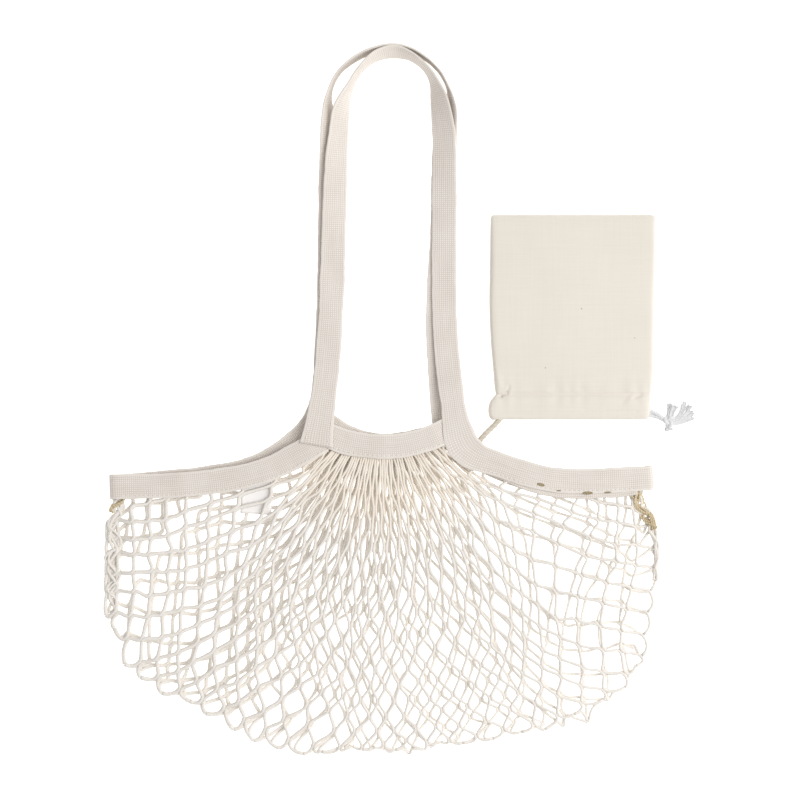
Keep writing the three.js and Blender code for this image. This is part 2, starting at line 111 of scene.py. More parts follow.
def steer(points):
    """At each point of a path: its unit heading, the level direction to the right, and over both."""
    heading = np.gradient(points, axis=-2)
    heading = heading / np.linalg.norm(heading, axis=-1, keepdims=True)
    right = np.cross(heading, UP)
    right = right / np.linalg.norm(right, axis=-1, keepdims=True)
    return heading, right, np.cross(right, heading)


def carry(middle, right, over, section):
    """A section carried along a path: each ring's corners are offsets to the right and over it."""
    return middle[:, None] + section[..., :1] * right[:, None] + section[..., 1:] * over[:, None]


def wrap(strand, around, along):
    """Quads over swept rings, and every quad corner's place around and along its strand.

    Rings that follow each other and share a strand number are joined, and a strip of quads closes
    each end of a strand. around holds one value more than a ring has corners.
    """
    corners = len(around) - 1
    ring, corner = np.broadcast_arrays(
        np.flatnonzero(strand[:-1] == strand[1:])[:, None], np.arange(corners)
    )
    rings = np.stack([ring, ring + 1, ring + 1, ring], axis=-1).reshape(-1, 4)
    places = np.stack([corner, corner, corner + 1, corner + 1], axis=-1).reshape(-1, 4)
    pair = np.arange(corners // 2 - 1)
    strip = np.stack([pair, pair + 1, corners - 2 - pair, corners - 1 - pair], axis=-1)
    change = strand[1:] != strand[:-1]
    first = np.flatnonzero(np.r_[True, change])
    last = np.flatnonzero(np.r_[change, True])
    strips = np.vstack([np.tile(strip, (len(first), 1)), np.tile(strip[:, ::-1], (len(last), 1))])
    ends = np.repeat(np.r_[first, last], len(strip))[:, None]
    rings = np.vstack([rings, np.broadcast_to(ends, strips.shape)])
    places = np.vstack([places, strips])
    quads = rings * corners + places % corners
    return quads, np.stack([around[places], along[rings]], axis=-1)


def circle(corners):
    """The corners of a round section of unit radius, as offsets to the right and over."""
    angle = np.linspace(0, 2 * math.pi, corners, endpoint=False)
    return np.stack([np.cos(angle), np.sin(angle)], axis=-1)


def sweep(lines, section, along):
    """Points, quads and runs of a section carried along each of many lines of as many points."""
    count, rings = lines.shape[:2]
    shape = section.shape[-2:]
    _, right, over = steer(lines)
    sections = np.broadcast_to(section, (count, rings, *shape)).reshape(-1, *shape)
    points = carry(*(part.reshape(-1, 3) for part in (lines, right, over)), sections)
    runs = np.broadcast_to(along, (count, rings)).reshape(-1)
    quads, run = wrap(np.repeat(np.arange(count), rings), np.linspace(0, 1, shape[0] + 1), runs)
    return points.reshape(-1, 3), quads, run


def put_piece(name, points, quads, run, material, slot, *nodes):
    """A smooth mesh from points and quads, with each corner's place on the piece as its UV map.

    It rides on the bag, takes the material given and stands for the named nodes. The slot is not used.
    """
    mesh = bpy.data.meshes.new(name)
    mesh.from_pydata(points.reshape(-1, 3) * MILLIMETRE, [], quads)
    mesh.uv_layers.new(name="run").data.foreach_set("uv", run.reshape(-1).astype(np.float32))
    mesh.shade_smooth()
    mesh.materials.append(material)
    made = bpy.data.objects.new(name, mesh)
    bpy.context.collection.objects.link(made)
    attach(made, "root")
    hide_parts(*nodes)
    return made


def linear(colour):
    """The linear RGBA of an sRGB hex colour."""
    value = np.array([int(colour[k : k + 2], 16) / 255 for k in (1, 3, 5)])
    value = np.where(value <= 0.04045, value / 12.92, ((value + 0.055) / 1.055) ** 2.4)
    return (*value, 1.0)


def add_node(tree, kind, inputs=(), **settings):
    """Adds a node with its settings. An input that is a socket is linked, and others are values."""
    made = tree.nodes.new(kind)
    for name, value in settings.items():
        setattr(made, name, value)
    for socket, value in dict(inputs).items():
        if isinstance(value, bpy.types.NodeSocket):
            tree.links.new(value, made.inputs[socket])
        else:
            made.inputs[socket].default_value = value
    return made


def reckon(tree, operation, *values, kind="Math", output=0):
    """The result of a math node. The values fill its inputs in order."""
    inputs = dict(enumerate(values))
    return add_node(tree, f"ShaderNode{kind}", inputs, operation=operation).outputs[output]


def noise(tree, place, scale, detail, output=0, **more):
    """Cloudy noise at a place, finer with a larger scale."""
    inputs = {"Vector": place, "Scale": scale, "Detail": detail, **more}
    return add_node(tree, "ShaderNodeTexNoise", inputs).outputs[output]


def span(tree, value, low, high, ends=(0.0, 1.0), course="LINEAR"):
    """A number that goes from one end to the other while a value goes from low to high."""
    inputs = {"Value": value, "From Min": low, "From Max": high, "To Min": ends[0], "To Max": ends[1]}
    return add_node(tree, "ShaderNodeMapRange", inputs, interpolation_type=course).outputs[0]


def blend(tree, share, low, high):
    """A colour that lies a share of the way from low to high."""
    return add_node(tree, "ShaderNodeMix", {0: share, 6: low, 7: high}, data_type="RGBA").outputs[2]


def start_cotton(name):
    """A new material with the matte, faintly downy surface that all of the bag's cotton has."""
    material = bpy.data.materials.new(name)
    material.use_nodes = True
    shader = material.node_tree.nodes["Principled BSDF"]
    shader.inputs["Roughness"].default_value = 0.92
    shader.inputs["Specular IOR Level"].default_value = 0.2
    shader.inputs["Sheen Weight"].default_value = 0.08
    shader.inputs["Sheen Roughness"].default_value = 0.6
    return material, material.node_tree, shader


def end_cotton(tree, shader, colour, height, relief, strength):
    """Gives a material its colour, and a bump that follows a height, with a relief in millimetres."""
    inputs = {"Height": height, "Distance": relief * MILLIMETRE, "Strength": strength}
    bump = add_node(tree, "ShaderNodeBump", inputs)
    tree.links.new(colour, shader.inputs["Base Color"])
    tree.links.new(bump.outputs[0], shader.inputs["Normal"])


def twisted_cotton(name, light, shade, plies, lay, relief, groove=0.22):
    """Spun cotton: ridges wind once round the strand in each lay, with shade in the grooves.

    Fibres of about a millimetre break up the ridges. The relief is the ridges' height, and the
    groove is how much darker it is between them.
    """
    material, tree, shader = start_cotton(name)
    run = add_node(tree, "ShaderNodeUVMap", uv_map="run").outputs[0]
    around, along, _ = add_node(tree, "ShaderNodeSeparateXYZ", {0: run}).outputs
    turn = reckon(tree, "MULTIPLY_ADD", along, 1 / lay, around)
    wave = reckon(tree, "SINE", reckon(tree, "MULTIPLY", turn, 2 * math.pi * plies))
    spot = add_node(tree, "ShaderNodeTexCoord").outputs["Object"]
    fibre = noise(tree, spot, 1100.0, 3.0, Roughness=0.6)
    patch = noise(tree, spot, 60.0, 2.0)
    ridge = reckon(tree, "MULTIPLY_ADD", wave, groove, fibre)
    height = reckon(tree, "MULTIPLY_ADD", patch, 0.5, ridge)
    colour = blend(tree, span(tree, height, 0.3, 0.95), linear(shade), linear(light))
    end_cotton(tree, shader, colour, ridge, relief, 0.7)
    return material


def plied_cord(name, route, diameter, material, slot, *nodes):
    """A round cord of plies: its radius dips between the plies, which turn once in each lay."""
    line = smooth_route(route, CORD_STEP)
    along = run_length(line)
    angle = np.linspace(0, 2 * math.pi, CORD_CORNERS, endpoint=False)
    lobe = np.abs(np.cos(CORD_PLIES / 2 * (angle + 2 * math.pi * along[:, None] / CORD_LAY)))
    radius = diameter / 2 * (0.9 + 0.12 * lobe)
    swept = sweep(line[None], radius[..., None] * circle(CORD_CORNERS), along)
    return put_piece(name, *swept, material, slot, *nodes), line


# The three plies catch the light as slanting ridges with soft shade between them.
cord_cotton = twisted_cotton(
    "soft cotton cord, plied", CORD_LIGHT, CORD_SHADE, CORD_PLIES, CORD_LAY, relief=0.2, groove=0.12
)
tether, tether_line = plied_cord(
    "pouch_tether_cord", TETHER_ROUTE, CORD_DIAMETER, cord_cotton, "cord", "pouch_tether"
)


# Drawstring. The two ends of a white cotton string come out of the pouch's casing, are tied in one
# knot and fray beyond it. The string runs on inside the casing, where it isn't seen.
STRING_DIAMETER = 2.8
STRING_LIGHT = "#e5e4e5"
STRING_SHADE = "#c5c5c7"
STRING_ROUTES = {
    "upper": np.array([  # x, y, z
        (180.0, -4.6, 3.6),
        (190.0, -5.4, 3.8),
        (197.0, -8.0, 3.7),
        (202.4, -10.6, 3.2),
        (207.2, -14.0, 3.0),
        (209.6, -15.4, 3.2),
    ]),
    "lower": np.array([
        (180.0, -8.4, 3.4),
        (190.0, -9.4, 3.2),
        (197.0, -11.2, 2.7),
        (202.6, -12.8, 2.1),
        (207.0, -14.8, 2.3),
        (210.4, -16.2, 3.0),
    ]),
}
KNOT_MIDDLE = np.array([210.6, -15.8, 3.3])
KNOT_SIZE = np.array([1.1, 1.3, 0.75])
KNOT_STRING = 3.0
KNOT_STEPS = 96
KNOT_CORNERS = 10
FIBRE_DIAMETER = 1.25
FIBRE_STEPS = 16
FIBRE_CORNERS = 6
FIBRE_RUN = 18.0
TAIL_RISE = 2.4
LOWEST_FIBRE = 0.5
TAILS = np.array([  # middle x, y and end x, y, z, then spread at the start and end, and fibre count
    (211.2, -9.2, 213.8, -2.6, 2.0, 2.2, 3.9, 64),
    (219.0, -16.6, 222.8, -0.8, 1.9, 2.1, 1.4, 36),
    (220.0, -16.8, 226.6, -3.6, 2.0, 2.2, 1.9, 40),
    (220.6, -17.2, 229.0, -8.4, 2.0, 2.2, 2.3, 40),
    (219.6, -17.6, 229.4, -12.6, 1.9, 2.0, 1.9, 36),
    (210.2, -19.4, 210.6, -22.8, 1.8, 2.6, 3.4, 56),
])

# Bleached string is whiter than the rest of the bag.
string_cotton = twisted_cotton(
    "bleached cotton string, spun", STRING_LIGHT, STRING_SHADE, 2, 5.0, relief=0.1, groove=0.08
)

turn = np.linspace(0, 2 * math.pi, KNOT_STEPS, endpoint=False)
knot_line = KNOT_MIDDLE + KNOT_SIZE * np.stack(
    [np.sin(turn) + 2 * np.sin(2 * turn), np.cos(turn) - 2 * np.cos(2 * turn), -np.sin(3 * turn)],
    axis=-1,
)
knot_line = np.vstack([knot_line, knot_line[:1]])

chance = np.random.default_rng(7)
tail_of = np.repeat(np.arange(len(TAILS)), TAILS[:, 7].astype(int))
fibre_count = len(tail_of)
tail = TAILS[tail_of]
share = np.linspace(0, 1, FIBRE_STEPS)[None, :, None]
tail_middle = np.column_stack([tail[:, :2], np.full(fibre_count, TAIL_RISE)])[:, None]
tail_end = tail[:, None, 2:5]
tail_line = (1 - share) ** 2 * KNOT_MIDDLE + share**2 * tail_end
tail_line = tail_line + 2 * share * (1 - share) * tail_middle
spin = chance.uniform(0, 2 * math.pi, fibre_count)[:, None, None]
reach = np.sqrt(chance.uniform(0, 1, fibre_count))[:, None, None]
spread = reach * (tail[:, None, 5:6] * (1 - share) + tail[:, None, 6:7] * share**1.5)
wander = 0.35 * np.sin(share * chance.uniform(4, 9, (fibre_count, 1, 1)) + spin)
fibre_length = chance.uniform(0.82, 1.0, (fibre_count, 1, 1))
fibre_line = tail_line[:, :1] + (tail_line - tail_line[:, :1]) * fibre_length
_, tail_right, _ = steer(tail_line)
fibre_line = fibre_line + tail_right * (spread * np.cos(spin) + wander)
fibre_line[..., 2] += (0.55 * spread * np.sin(spin))[..., 0]
fibre_line[..., 2] = np.maximum(fibre_line[..., 2], LOWEST_FIBRE)

knot_points, knot_quads, knot_run = sweep(
    knot_line[None], KNOT_STRING / 2 * circle(KNOT_CORNERS), run_length(knot_line)
)
taper = (1 - 0.55 * share[0]) * FIBRE_DIAMETER / 2
fibre_points, fibre_quads, fibre_run = sweep(
    fibre_line, taper[:, None] * circle(FIBRE_CORNERS), np.linspace(0, FIBRE_RUN, FIBRE_STEPS)
)
knot = put_piece(
    "drawstring_knot_and_tails",
    np.vstack([knot_points, fibre_points]),
    np.vstack([knot_quads, fibre_quads + len(knot_points)]),
    np.vstack([knot_run, fibre_run]),
    string_cotton,
    "string",
    "drawstring_knot",
)
for side, string_route in STRING_ROUTES.items():
    string, string_line = plied_cord(
        f"drawstring_{side}", string_route, STRING_DIAMETER, string_cotton, "string", "drawstring"
    )


# Straps. Each is one length of woven cotton tape: a handle that turns at its foot into one side of
# the mouth, folds round the bag's end and comes back behind. At the top the tapes stand on edge.
TAPE_WIDTH = 18.0
TAPE_THICK = 1.6
TAPE_STEP = 1.6
BACK_BAND_RISE = 1.9
FRONT_BAND_RISE = 9.4
TAPE_LIGHT = "#e9e3dc"
TAPE_SHADE = "#c9bfb5"
TAPE_PITCH = 1.5
TURN_STEPS = 12
FOOT_REACH = (0.0, 19.0, 40.0)
FOOT_WIDENING = (6.0, 2.0, 0.0)
BEND_PLACE = (59.5, -33.5)
BEND_REACH = (0.0, 8.0, 18.0, 28.0)
BEND_WIDENING = (6.0, 5.0, 1.6, 0.0)
FRONT_HANDLE = np.array([  # x, y, rise of the lower edge, lean in degrees
    (-47.5, -33, 11.35, 0), (-44.5, -14, 11.35, 0), (-41.6, 6, 9, 0), (-39.6, 24, 5.2, 0),
    (-37, 60, 2.4, 4), (-34.4, 132, 2.2, 14), (-32.3, 184, 2, 32), (-29.1, 212.6, 1.4, 51),
    (-23.6, 227.2, 0.6, 74), (-14.6, 242, 0.4, 79), (-3.6, 251.4, 0.6, 70), (9.2, 254.6, 0.8, 64),
    (20.9, 251.3, 0.6, 74), (31, 243.8, 0.4, 79), (38, 233.4, 0.8, 72), (42, 219.9, 2, 48),
    (45.4, 198, 2.4, 27), (46.2, 165, 2.4, 12), (46, 110, 2.2, 4), (46.4, 60, 2.4, 0),
    (48.4, 30, 3.6, 0), (52, 0, 7, 0), (55.2, -20, 9.4, 0), (60, -33.5, 9.4, 0), (69, -41, 9.4, 0),
    (84, -46.5, 9.4, 0), (104, -53.2, 9.4, 0), (124, -58, 9.4, 0), (146, -59.2, 9.4, 0),
    (170, -58.6, 9.4, 0), (194.6, -57.2, 9.4, 0),
])
BACK_RIGHT = np.array([
    (194.6, -57.2, 1.9, 0), (170, -58.8, 1.9, 0), (146, -61, 1.9, 0), (124, -60.8, 1.9, 0),
    (104, -56, 1.9, 0), (83, -48, 1.9, 0), (68, -40, 1.9, 0), (56.5, -32, 1.9, 0),
])
FRONT_LEFT = np.array([
    (-42.6, -29.6, 8.4, 0), (-51, -34.2, 9.4, 0), (-60, -39.2, 9.4, 0), (-81, -50, 9.4, 0),
    (-106, -57, 9.4, 0), (-148, -62, 9.4, 0), (-194.2, -63.4, 9.4, 0),
])
BACK_HANDLE = np.array([
    (-194.2, -63.4, 1.9, 0), (-160, -60.8, 1.9, 0), (-130, -57.4, 1.9, 0), (-102, -52.6, 1.9, 0),
    (-84, -45.6, 1.9, 0), (-68, -35, 1.9, 0), (-54, -22.4, 1.6, 0), (-45.4, -8, 0.8, 0),
    (-42, 10, 0.2, 0), (-39.8, 40, 0, 0), (-38, 90, 0, 0), (-37.4, 140, 0, 6), (-37, 184, 0, 26),
    (-38.8, 208, 0, 58), (-38.4, 222, 0, 80), (-34.2, 233.8, 0, 85), (-27.4, 243, 0, 85),
    (-17.6, 250.2, 0, 82), (-6, 255.2, 0, 79), (8, 257.7, 0, 78), (21, 255.4, 0, 82), (34, 248.2, 0, 87),
    (43.8, 237.8, 0, 88), (49.2, 226.4, 0, 85), (50.2, 214, 0, 58), (47.6, 200, 0, 24), (46, 176, 0, 10),
    (44.6, 120, 0, 0), (41.6, 66, 0, 0), (42.4, 32, 0, 0), (44.6, 0, 0, 0), (47.4, -27, 0, 0),
])
TAPE_EDGE = np.array([1.0, 0.985, 0.94, 0.8, 0.5, 0.17, -0.17, -0.5, -0.8, -0.94, -0.985, -1.0])


def lay_tape(rows, side, foot=False):
    """The middle, heading, across direction, normal and width of a tape at even steps of a route.

    A lean lifts the left edge while the lower edge keeps its rise. side is -1 for a tape that has
    been turned over. A handle with a foot is wider toward its sewn end and where it turns into the
    mouth.
    """
    route = smooth_route(rows, TAPE_STEP)
    lean = np.radians(route[:, 3])[:, None]
    width = np.full((len(route), 1), TAPE_WIDTH)
    if foot:
        width[:, 0] += np.interp(run_length(route[:, :3]), FOOT_REACH, FOOT_WIDENING)
        from_bend = np.linalg.norm(route[:, :2] - BEND_PLACE, axis=1)
        width[:, 0] += np.interp(from_bend, BEND_REACH, BEND_WIDENING)
    lift = width / 2 * np.abs(np.sin(lean)) + TAPE_THICK / 2 * np.cos(lean)
    middle = route[:, :3] + lift * UP
    heading, right, over = steer(middle)
    across = side * (right * np.cos(lean) - over * np.sin(lean))
    return np.hstack([middle, heading, across, np.cross(across, heading), width])


def turn_under(frame_row, drop, steps):
    """A half circle under the last frame of a tape, which brings it a drop lower and facing back."""
    middle, heading, across = frame_row[:3], frame_row[3:6] * (1, 1, 0), frame_row[6:9]
    heading = heading / np.linalg.norm(heading)
    angle = np.linspace(0, math.pi, steps + 1)[1:-1, None]
    place = middle + drop / 2 * (np.sin(angle) * heading + (np.cos(angle) - 1) * UP)
    turned = np.cos(angle) * heading - np.sin(angle) * UP
    across = np.broadcast_to(across, turned.shape)
    width = np.full((len(angle), 1), frame_row[12])
    return np.hstack([place, turned, across, np.cross(across, turned), width])


def ripple(run, seed, longest, shortest, waves=9):
    """A smooth wander of about unit size along a run: waves of mixed length and chance phase."""
    mix = np.random.default_rng(seed)
    lengths = np.geomspace(longest, shortest, waves)[:, None]
    phase = mix.uniform(0, 2 * math.pi, (waves, 1))
    weight = np.sqrt(lengths / longest)
    return (weight * np.sin(2 * math.pi * run / lengths + phase)).sum(axis=0) / np.sqrt(
        (weight**2).sum() / 2
    )


def weave_tape(name, frames, seed, material, *nodes):
    """A thin tape over frames: rounded edges, a little curl across it and a little wave along it."""
    along = run_length(frames[:, :3])
    half = frames[:, 12] / 2 + 0.14 * ripple(along, seed, 60, 5)
    curl = 0.13 * ripple(along, seed + 1, 120, 20)
    wave = 0.10 * ripple(along, seed + 2, 90, 9)
    across = np.concatenate([TAPE_EDGE, TAPE_EDGE[::-1]])
    face = np.concatenate([np.ones(len(TAPE_EDGE)), -np.ones(len(TAPE_EDGE))])
    thick = face * TAPE_THICK / 2 * (1 - 0.55 * np.abs(across) ** 24)
    rise = thick + curl[:, None] * (across**2 - 0.4) + wave[:, None]
    section = np.stack([half[:, None] * across, np.broadcast_to(rise, (len(along), len(across)))], -1)
    points = carry(frames[:, :3], frames[:, 6:9], frames[:, 9:12], section)
    around = np.append(across, across[0]) * np.median(frames[:, 12]) / 2
    quads, run = wrap(np.zeros(len(along), int), around, along)
    return put_piece(name, points, quads, run, material, "tape", *nodes)


def woven_tape(name):
    """Ecru tape in a basket weave: pale thread crossings in a square grid with shade between them.

    Warp threads run along the tape as faint streaks, and the edges are closer and flatter.
    """
    material, tree, shader = start_cotton(name)
    run = add_node(tree, "ShaderNodeUVMap", uv_map="run").outputs[0]
    spot = add_node(tree, "ShaderNodeTexCoord").outputs["Object"]
    stray = noise(tree, spot, 120.0, 3.0, output="Color")
    shift = reckon(tree, "SUBTRACT", stray, (0.5, 0.5, 0.5), kind="VectorMath")
    bent = reckon(tree, "MULTIPLY_ADD", shift, (1.1, 1.1, 0.0), run, kind="VectorMath")
    turns = {0: bent, "Scale": 2 * math.pi / TAPE_PITCH}
    phase = add_node(tree, "ShaderNodeVectorMath", turns, operation="SCALE").outputs[0]
    wave = reckon(tree, "COSINE", phase, kind="VectorMath")
    lifted = reckon(tree, "MULTIPLY_ADD", wave, (0.5, 0.5, 0.0), (0.5, 0.5, 0.0), kind="VectorMath")
    warp_wave, weft_wave, _ = add_node(tree, "ShaderNodeSeparateXYZ", {0: lifted}).outputs
    crossing = reckon(tree, "MULTIPLY", warp_wave, weft_wave)
    side = reckon(tree, "ABSOLUTE", add_node(tree, "ShaderNodeSeparateXYZ", {0: run}).outputs["X"])
    inside = span(tree, side, 8.4, 7.2, course="SMOOTHSTEP")
    grid = add_node(tree, "ShaderNodeMix", {0: inside, 2: 0.45, 3: crossing}, data_type="FLOAT")
    grid = grid.outputs[0]
    warp_place = add_node(tree, "ShaderNodeMapping", {0: run, "Scale": (0.9, 0.03, 1.0)})
    warp = noise(tree, warp_place.outputs[0], 1.0, 4.0)
    streak = reckon(tree, "ADD", warp, noise(tree, spot, 45.0, 3.0))
    lit = reckon(tree, "MULTIPLY_ADD", streak, 0.55, grid)
    colour = blend(tree, span(tree, lit, 0.3, 1.25), linear(TAPE_SHADE), linear(TAPE_LIGHT))
    end_cotton(tree, shader, colour, grid, 0.3, 0.55)
    return material


# The square grid of thread crossings is what tells this tape from a plain ribbon.
tape_cotton = woven_tape("ecru cotton tape, basket woven")

front_handle = lay_tape(FRONT_HANDLE, 1, foot=True)
back_right = lay_tape(BACK_RIGHT, -1)
right_turn = turn_under(front_handle[-1], FRONT_BAND_RISE - BACK_BAND_RISE, TURN_STEPS)
front_left = lay_tape(FRONT_LEFT, 1)
back_handle = lay_tape(BACK_HANDLE, -1)
left_turn = turn_under(front_left[-1], FRONT_BAND_RISE - BACK_BAND_RISE, TURN_STEPS)
front_frames = np.vstack([front_handle, right_turn, back_right])
back_frames = np.vstack([front_left, left_turn, back_handle])
weave_tape("front_strap_tape", front_frames, 11, tape_cotton, "front_strap")
weave_tape("back_strap_tape", back_frames, 21, tape_cotton, "back_strap")


# Centre bands. Short tapes of the same weave bind the gathered middle of the net, front and back,
# and butt against the feet of the handles, where they are sewn to them.
FRONT_CENTRE = np.array([  # x, y, rise of the lower edge, lean in degrees
    (-41.2, -24.6, 9.4, 0), (-27, -30.4, 9.4, 0), (-13, -33, 9.4, 0), (2, -34, 9.4, 0),
    (16, -33, 9.4, 0), (32, -29, 9.4, 0), (41, -25.6, 9.3, 0), (45.5, -23.4, 8.3, 0),
    (49.5, -21.4, 7.5, 0),
])
BACK_CENTRE = np.array([
    (-43, -15.6, 2.9, 0), (-34.7, -21.8, 2.6, 0), (-28.8, -25.5, 2.2, 0), (-14.5, -31.2, 1.9, 0),
    (2, -33.4, 1.9, 0), (16, -32.4, 1.9, 0), (32, -29, 1.9, 0), (46, -24.6, 1.9, 0),
])
front_centre = lay_tape(FRONT_CENTRE, 1)
back_centre = lay_tape(BACK_CENTRE, 1)
weave_tape("front_centre_tape", front_centre, 31, tape_cotton, "front_centre_band")
weave_tape("back_centre_tape", back_centre, 41, tape_cotton, "back_centre_band")


# Mouth hem. On the right side of the mouth the tape is turned over the net's top loops, so that its
# under half shows a little below the upper one, with tan yarn ends peeping out between the two.
HEM_WIDTH = 8.0
HEM_DROP = 1.65
HEM_SHOWS = np.array([  # x, how far the under half shows
    (60, -1.5), (84, 0.2), (110, 3.0), (140, 4.0), (170, 3.8), (186, 2.4),
])
HEM_ENDS = (70.0, 187.0)
HEM_TOP = -30.0


def hem_shows(x):
    """How far the hem shows below the front band, from 0 left of it."""
    return np.maximum(np.interp(x, HEM_SHOWS[:, 0], HEM_SHOWS[:, 1]), 0)


right_band = front_handle[(front_handle[:, 0] > HEM_ENDS[0]) & (front_handle[:, 0] < HEM_ENDS[1])]
right_band = right_band[right_band[:, 1] < HEM_TOP]
hem = right_band.copy()
hem_reach = TAPE_WIDTH / 2 - HEM_WIDTH / 2 + np.interp(hem[:, 0], HEM_SHOWS[:, 0], HEM_SHOWS[:, 1])
hem[:, :3] += hem_reach[:, None] * hem[:, 6:9] - HEM_DROP * UP
hem[:, 12] = HEM_WIDTH
weave_tape("front_strap_hem", hem, 71, tape_cotton, "front_strap")

RAW_LIGHT = "#dccdaf"
RAW_SHADE = "#a08b63"
# Painted shadow: the raw yarn peeping out of the hem is darkened for the shade of the gap it lies in.
PEEP_SHADOW_LIGHT = "#a5967a"
PEEP_SHADOW_DARK = "#77694f"
PEEP_RINGS = 13
PEEP_CORNERS = 12
PEEP_HEIGHT = 0.7
PEEP_RUN = 4.0
PEEPS = np.array([  # x, y, length, width of the yarn that shows
    (116.4, -61.8, 6.2, 2.4), (129.4, -66.2, 3.6, 1.0), (150.6, -67.8, 7.6, 2.2),
    (165.3, -67.4, 5.4, 1.2),
])

# Raw yarn keeps the tan of unwashed cotton, which marks the hem and both ends of the mouth.
# What peeps out of the hem is darker with painted shadow, for the shade in the gap under the tape.
raw_cotton = twisted_cotton("raw cotton yarn, knotted", RAW_LIGHT, RAW_SHADE, 2, 4.0, 0.25)
shaded_cotton = twisted_cotton("raw cotton yarn, painted hem shadow", PEEP_SHADOW_LIGHT, PEEP_SHADOW_DARK, 2, 4.0, 0.25)

# A peeping end is a lens: a flat oval section whose size follows half an ellipse along the band.
peep_share = np.linspace(-1, 1, PEEP_RINGS)
peep_taper = np.sqrt(1 - 0.98 * peep_share**2)
peep_heading = np.stack(
    [np.interp(PEEPS[:, 0], right_band[:, 0], column) for column in right_band[:, 3:5].T], axis=-1
)
peep_line = np.full((len(PEEPS), PEEP_RINGS, 3), FRONT_BAND_RISE + TAPE_THICK)
peep_reach = PEEPS[:, 2, None, None] / 2 * peep_share[:, None]
peep_line[..., :2] = PEEPS[:, None, :2] + peep_reach * peep_heading[:, None]
peep_size = np.stack([PEEPS[:, 3] / 2, np.full(len(PEEPS), PEEP_HEIGHT / 2)], axis=-1)
peep_section = peep_taper[:, None, None] * circle(PEEP_CORNERS) * peep_size[:, None, None]
peeping = sweep(peep_line, peep_section, PEEP_RUN * peep_share)
put_piece("hem_yarn_ends", *peeping, shaded_cotton, "net", "front_strap")


# Mouth stitching. A row of thick cotton thread along the lower edge of each front band holds the
# net's top loops under the tape, and rows down both sides hold the foot of the front handle.
STITCH = 2.3
STITCH_PITCH = 3.3
STITCH_RINGS = 7
THREAD = 0.6
THREAD_CORNERS = 6
THREAD_LIGHT = "#f0ebe4"
THREAD_SHADE = "#d6cdc2"
STITCH_ASIDE = 6.8
FOOT_ASIDE = 8.2
FOOT_FRAMES = 14


def sew_row(frames, aside):
    """Lines of stitches on a tape, aside of its middle: each rises out of the cloth and dips back."""
    along = run_length(frames[:, :3])
    start = np.arange(STITCH_PITCH, along[-1] - STITCH_PITCH, STITCH_PITCH)[:, None]
    share = np.linspace(0, 1, STITCH_RINGS)
    at = start + STITCH * share
    lift = TAPE_THICK / 2 + THREAD * (0.85 * np.sin(math.pi * share) - 0.4)
    seat, normal = (
        np.stack([np.interp(at, along, column) for column in part.T], axis=-1)
        for part in (frames[:, :3] + aside * frames[:, 6:9], frames[:, 9:12])
    )
    return seat + lift[:, None] * normal


stitch_lines = np.concatenate([
    sew_row(front_centre, STITCH_ASIDE),
    sew_row(front_left, -STITCH_ASIDE),
    sew_row(right_band, STITCH_ASIDE),
    sew_row(front_handle[:FOOT_FRAMES], FOOT_ASIDE),
    sew_row(front_handle[:FOOT_FRAMES], -FOOT_ASIDE),
])
stitches = sweep(
    stitch_lines, THREAD / 2 * circle(THREAD_CORNERS), np.linspace(0, STITCH, STITCH_RINGS)
)

# Sewing thread is smoother and paler than the tape, with a fine twist.
thread_cotton = twisted_cotton(
    "cotton sewing thread, twisted", THREAD_LIGHT, THREAD_SHADE, 2, 1.6, relief=0.05, groove=0.1
)
put_piece(
    "mouth_stitching",
    *stitches,
    thread_cotton,
    "tape",
    "front_centre_band",
    "front_strap",
    "back_strap",
)


# Net. Soft cotton yarns zigzag from the front mouth down to the fold, loop round it and go on up the
# back. Neighbours lie side by side where they are tied, so the gaps are diamonds, drawn shut above.
YARN = 2.16
GATHERED_YARN = (1.75, 2.15)
GATHERED_REACH = (46.0, 120.0)
JOINT_SWELL = 0.14
SLACK_SWELL = 0.36
SLACK_X = (-20.0, -120.0)
STRAND = 13.2
JOINT = 3.6
JOINT_SPREAD = 0.4
MOUTH_MIDDLE = np.array([2.6, 0.0])
FAN_MIDDLE = np.array([2.6, -16.0])
GATHER_RISE = 24.0
FIRST_RADIUS = 14.0
HALF_COLUMN = 2.1
COLUMN_DRIFT = 0.0039
COLUMN_SPREAD = 0.00006
YARNS_EACH_WAY = 42
MEAN_RADIUS = 246.0
SIDE_ANGLE = 44.0
SIDE_COLUMN = 8.9
SIDE_ROW = 9.3
SIDE_BLEND = (1.0, 7.0)
CORNER_COLUMNS = (5, 2)
OUTLINE_ROUNDS = 6
SHORTEST_YARN = 1
CROWDED_COLUMNS = 6.0
CROWDING = 0.85
CROWDED_RADIUS = (145.0, 75.0)
SIDE_PULLS = (-6.5, 8.0)
SIDE_PULL_X = (90.0, 185.0)
SIDE_PULL_Y = (-190.0, -110.0)
SIDE_LIMITS = (-198.0, 202.0)
SIDE_GIVE = 0.35
OUTLINE = np.array([  # angle from straight down in degrees and distance, from the middle of the mouth
    (-84, 196), (-72, 212), (-67, 224), (-60, 238), (-51, 254), (-42, 267), (-36, 270), (-23, 264),
    (-8, 260), (8, 259), (20, 259), (27, 263), (34, 269), (40, 270), (46, 263), (51, 251), (60, 232),
    (66, 220), (72, 210), (84, 196),
])
LOOP_DEPTH = np.array([  # angle from straight down in degrees, share of a full row
    (-70, 0.4), (-50, 0.5), (-30, 0.65), (-14, 0.7), (-4, 0.36), (9, 0.36), (20, 0.55), (40, 0.5),
    (70, 0.4),
])
FRONT_LEVEL = 9.7
FRONT_MOUTH_LEVEL = 8.1
FOLD_LEVEL = 2.8
BACK_LEVEL = 1.25
FOLD_WIDTH = 36.0
BACK_FOLD_WIDTH = 9.0
HALF_BAND = 10.0
MOUTH_DIP = (-1.0, 8.0)
RINGS_PER_ROW = 8
YARN_CORNERS = 6
FRONT_LIGHT = "#ebe6e0"
FRONT_SHADE = "#dad4cb"
# The back layer's colours are painted paler than the front's: painted light against the shade it lies
# in.
BACK_LIGHT = "#f1ede7"
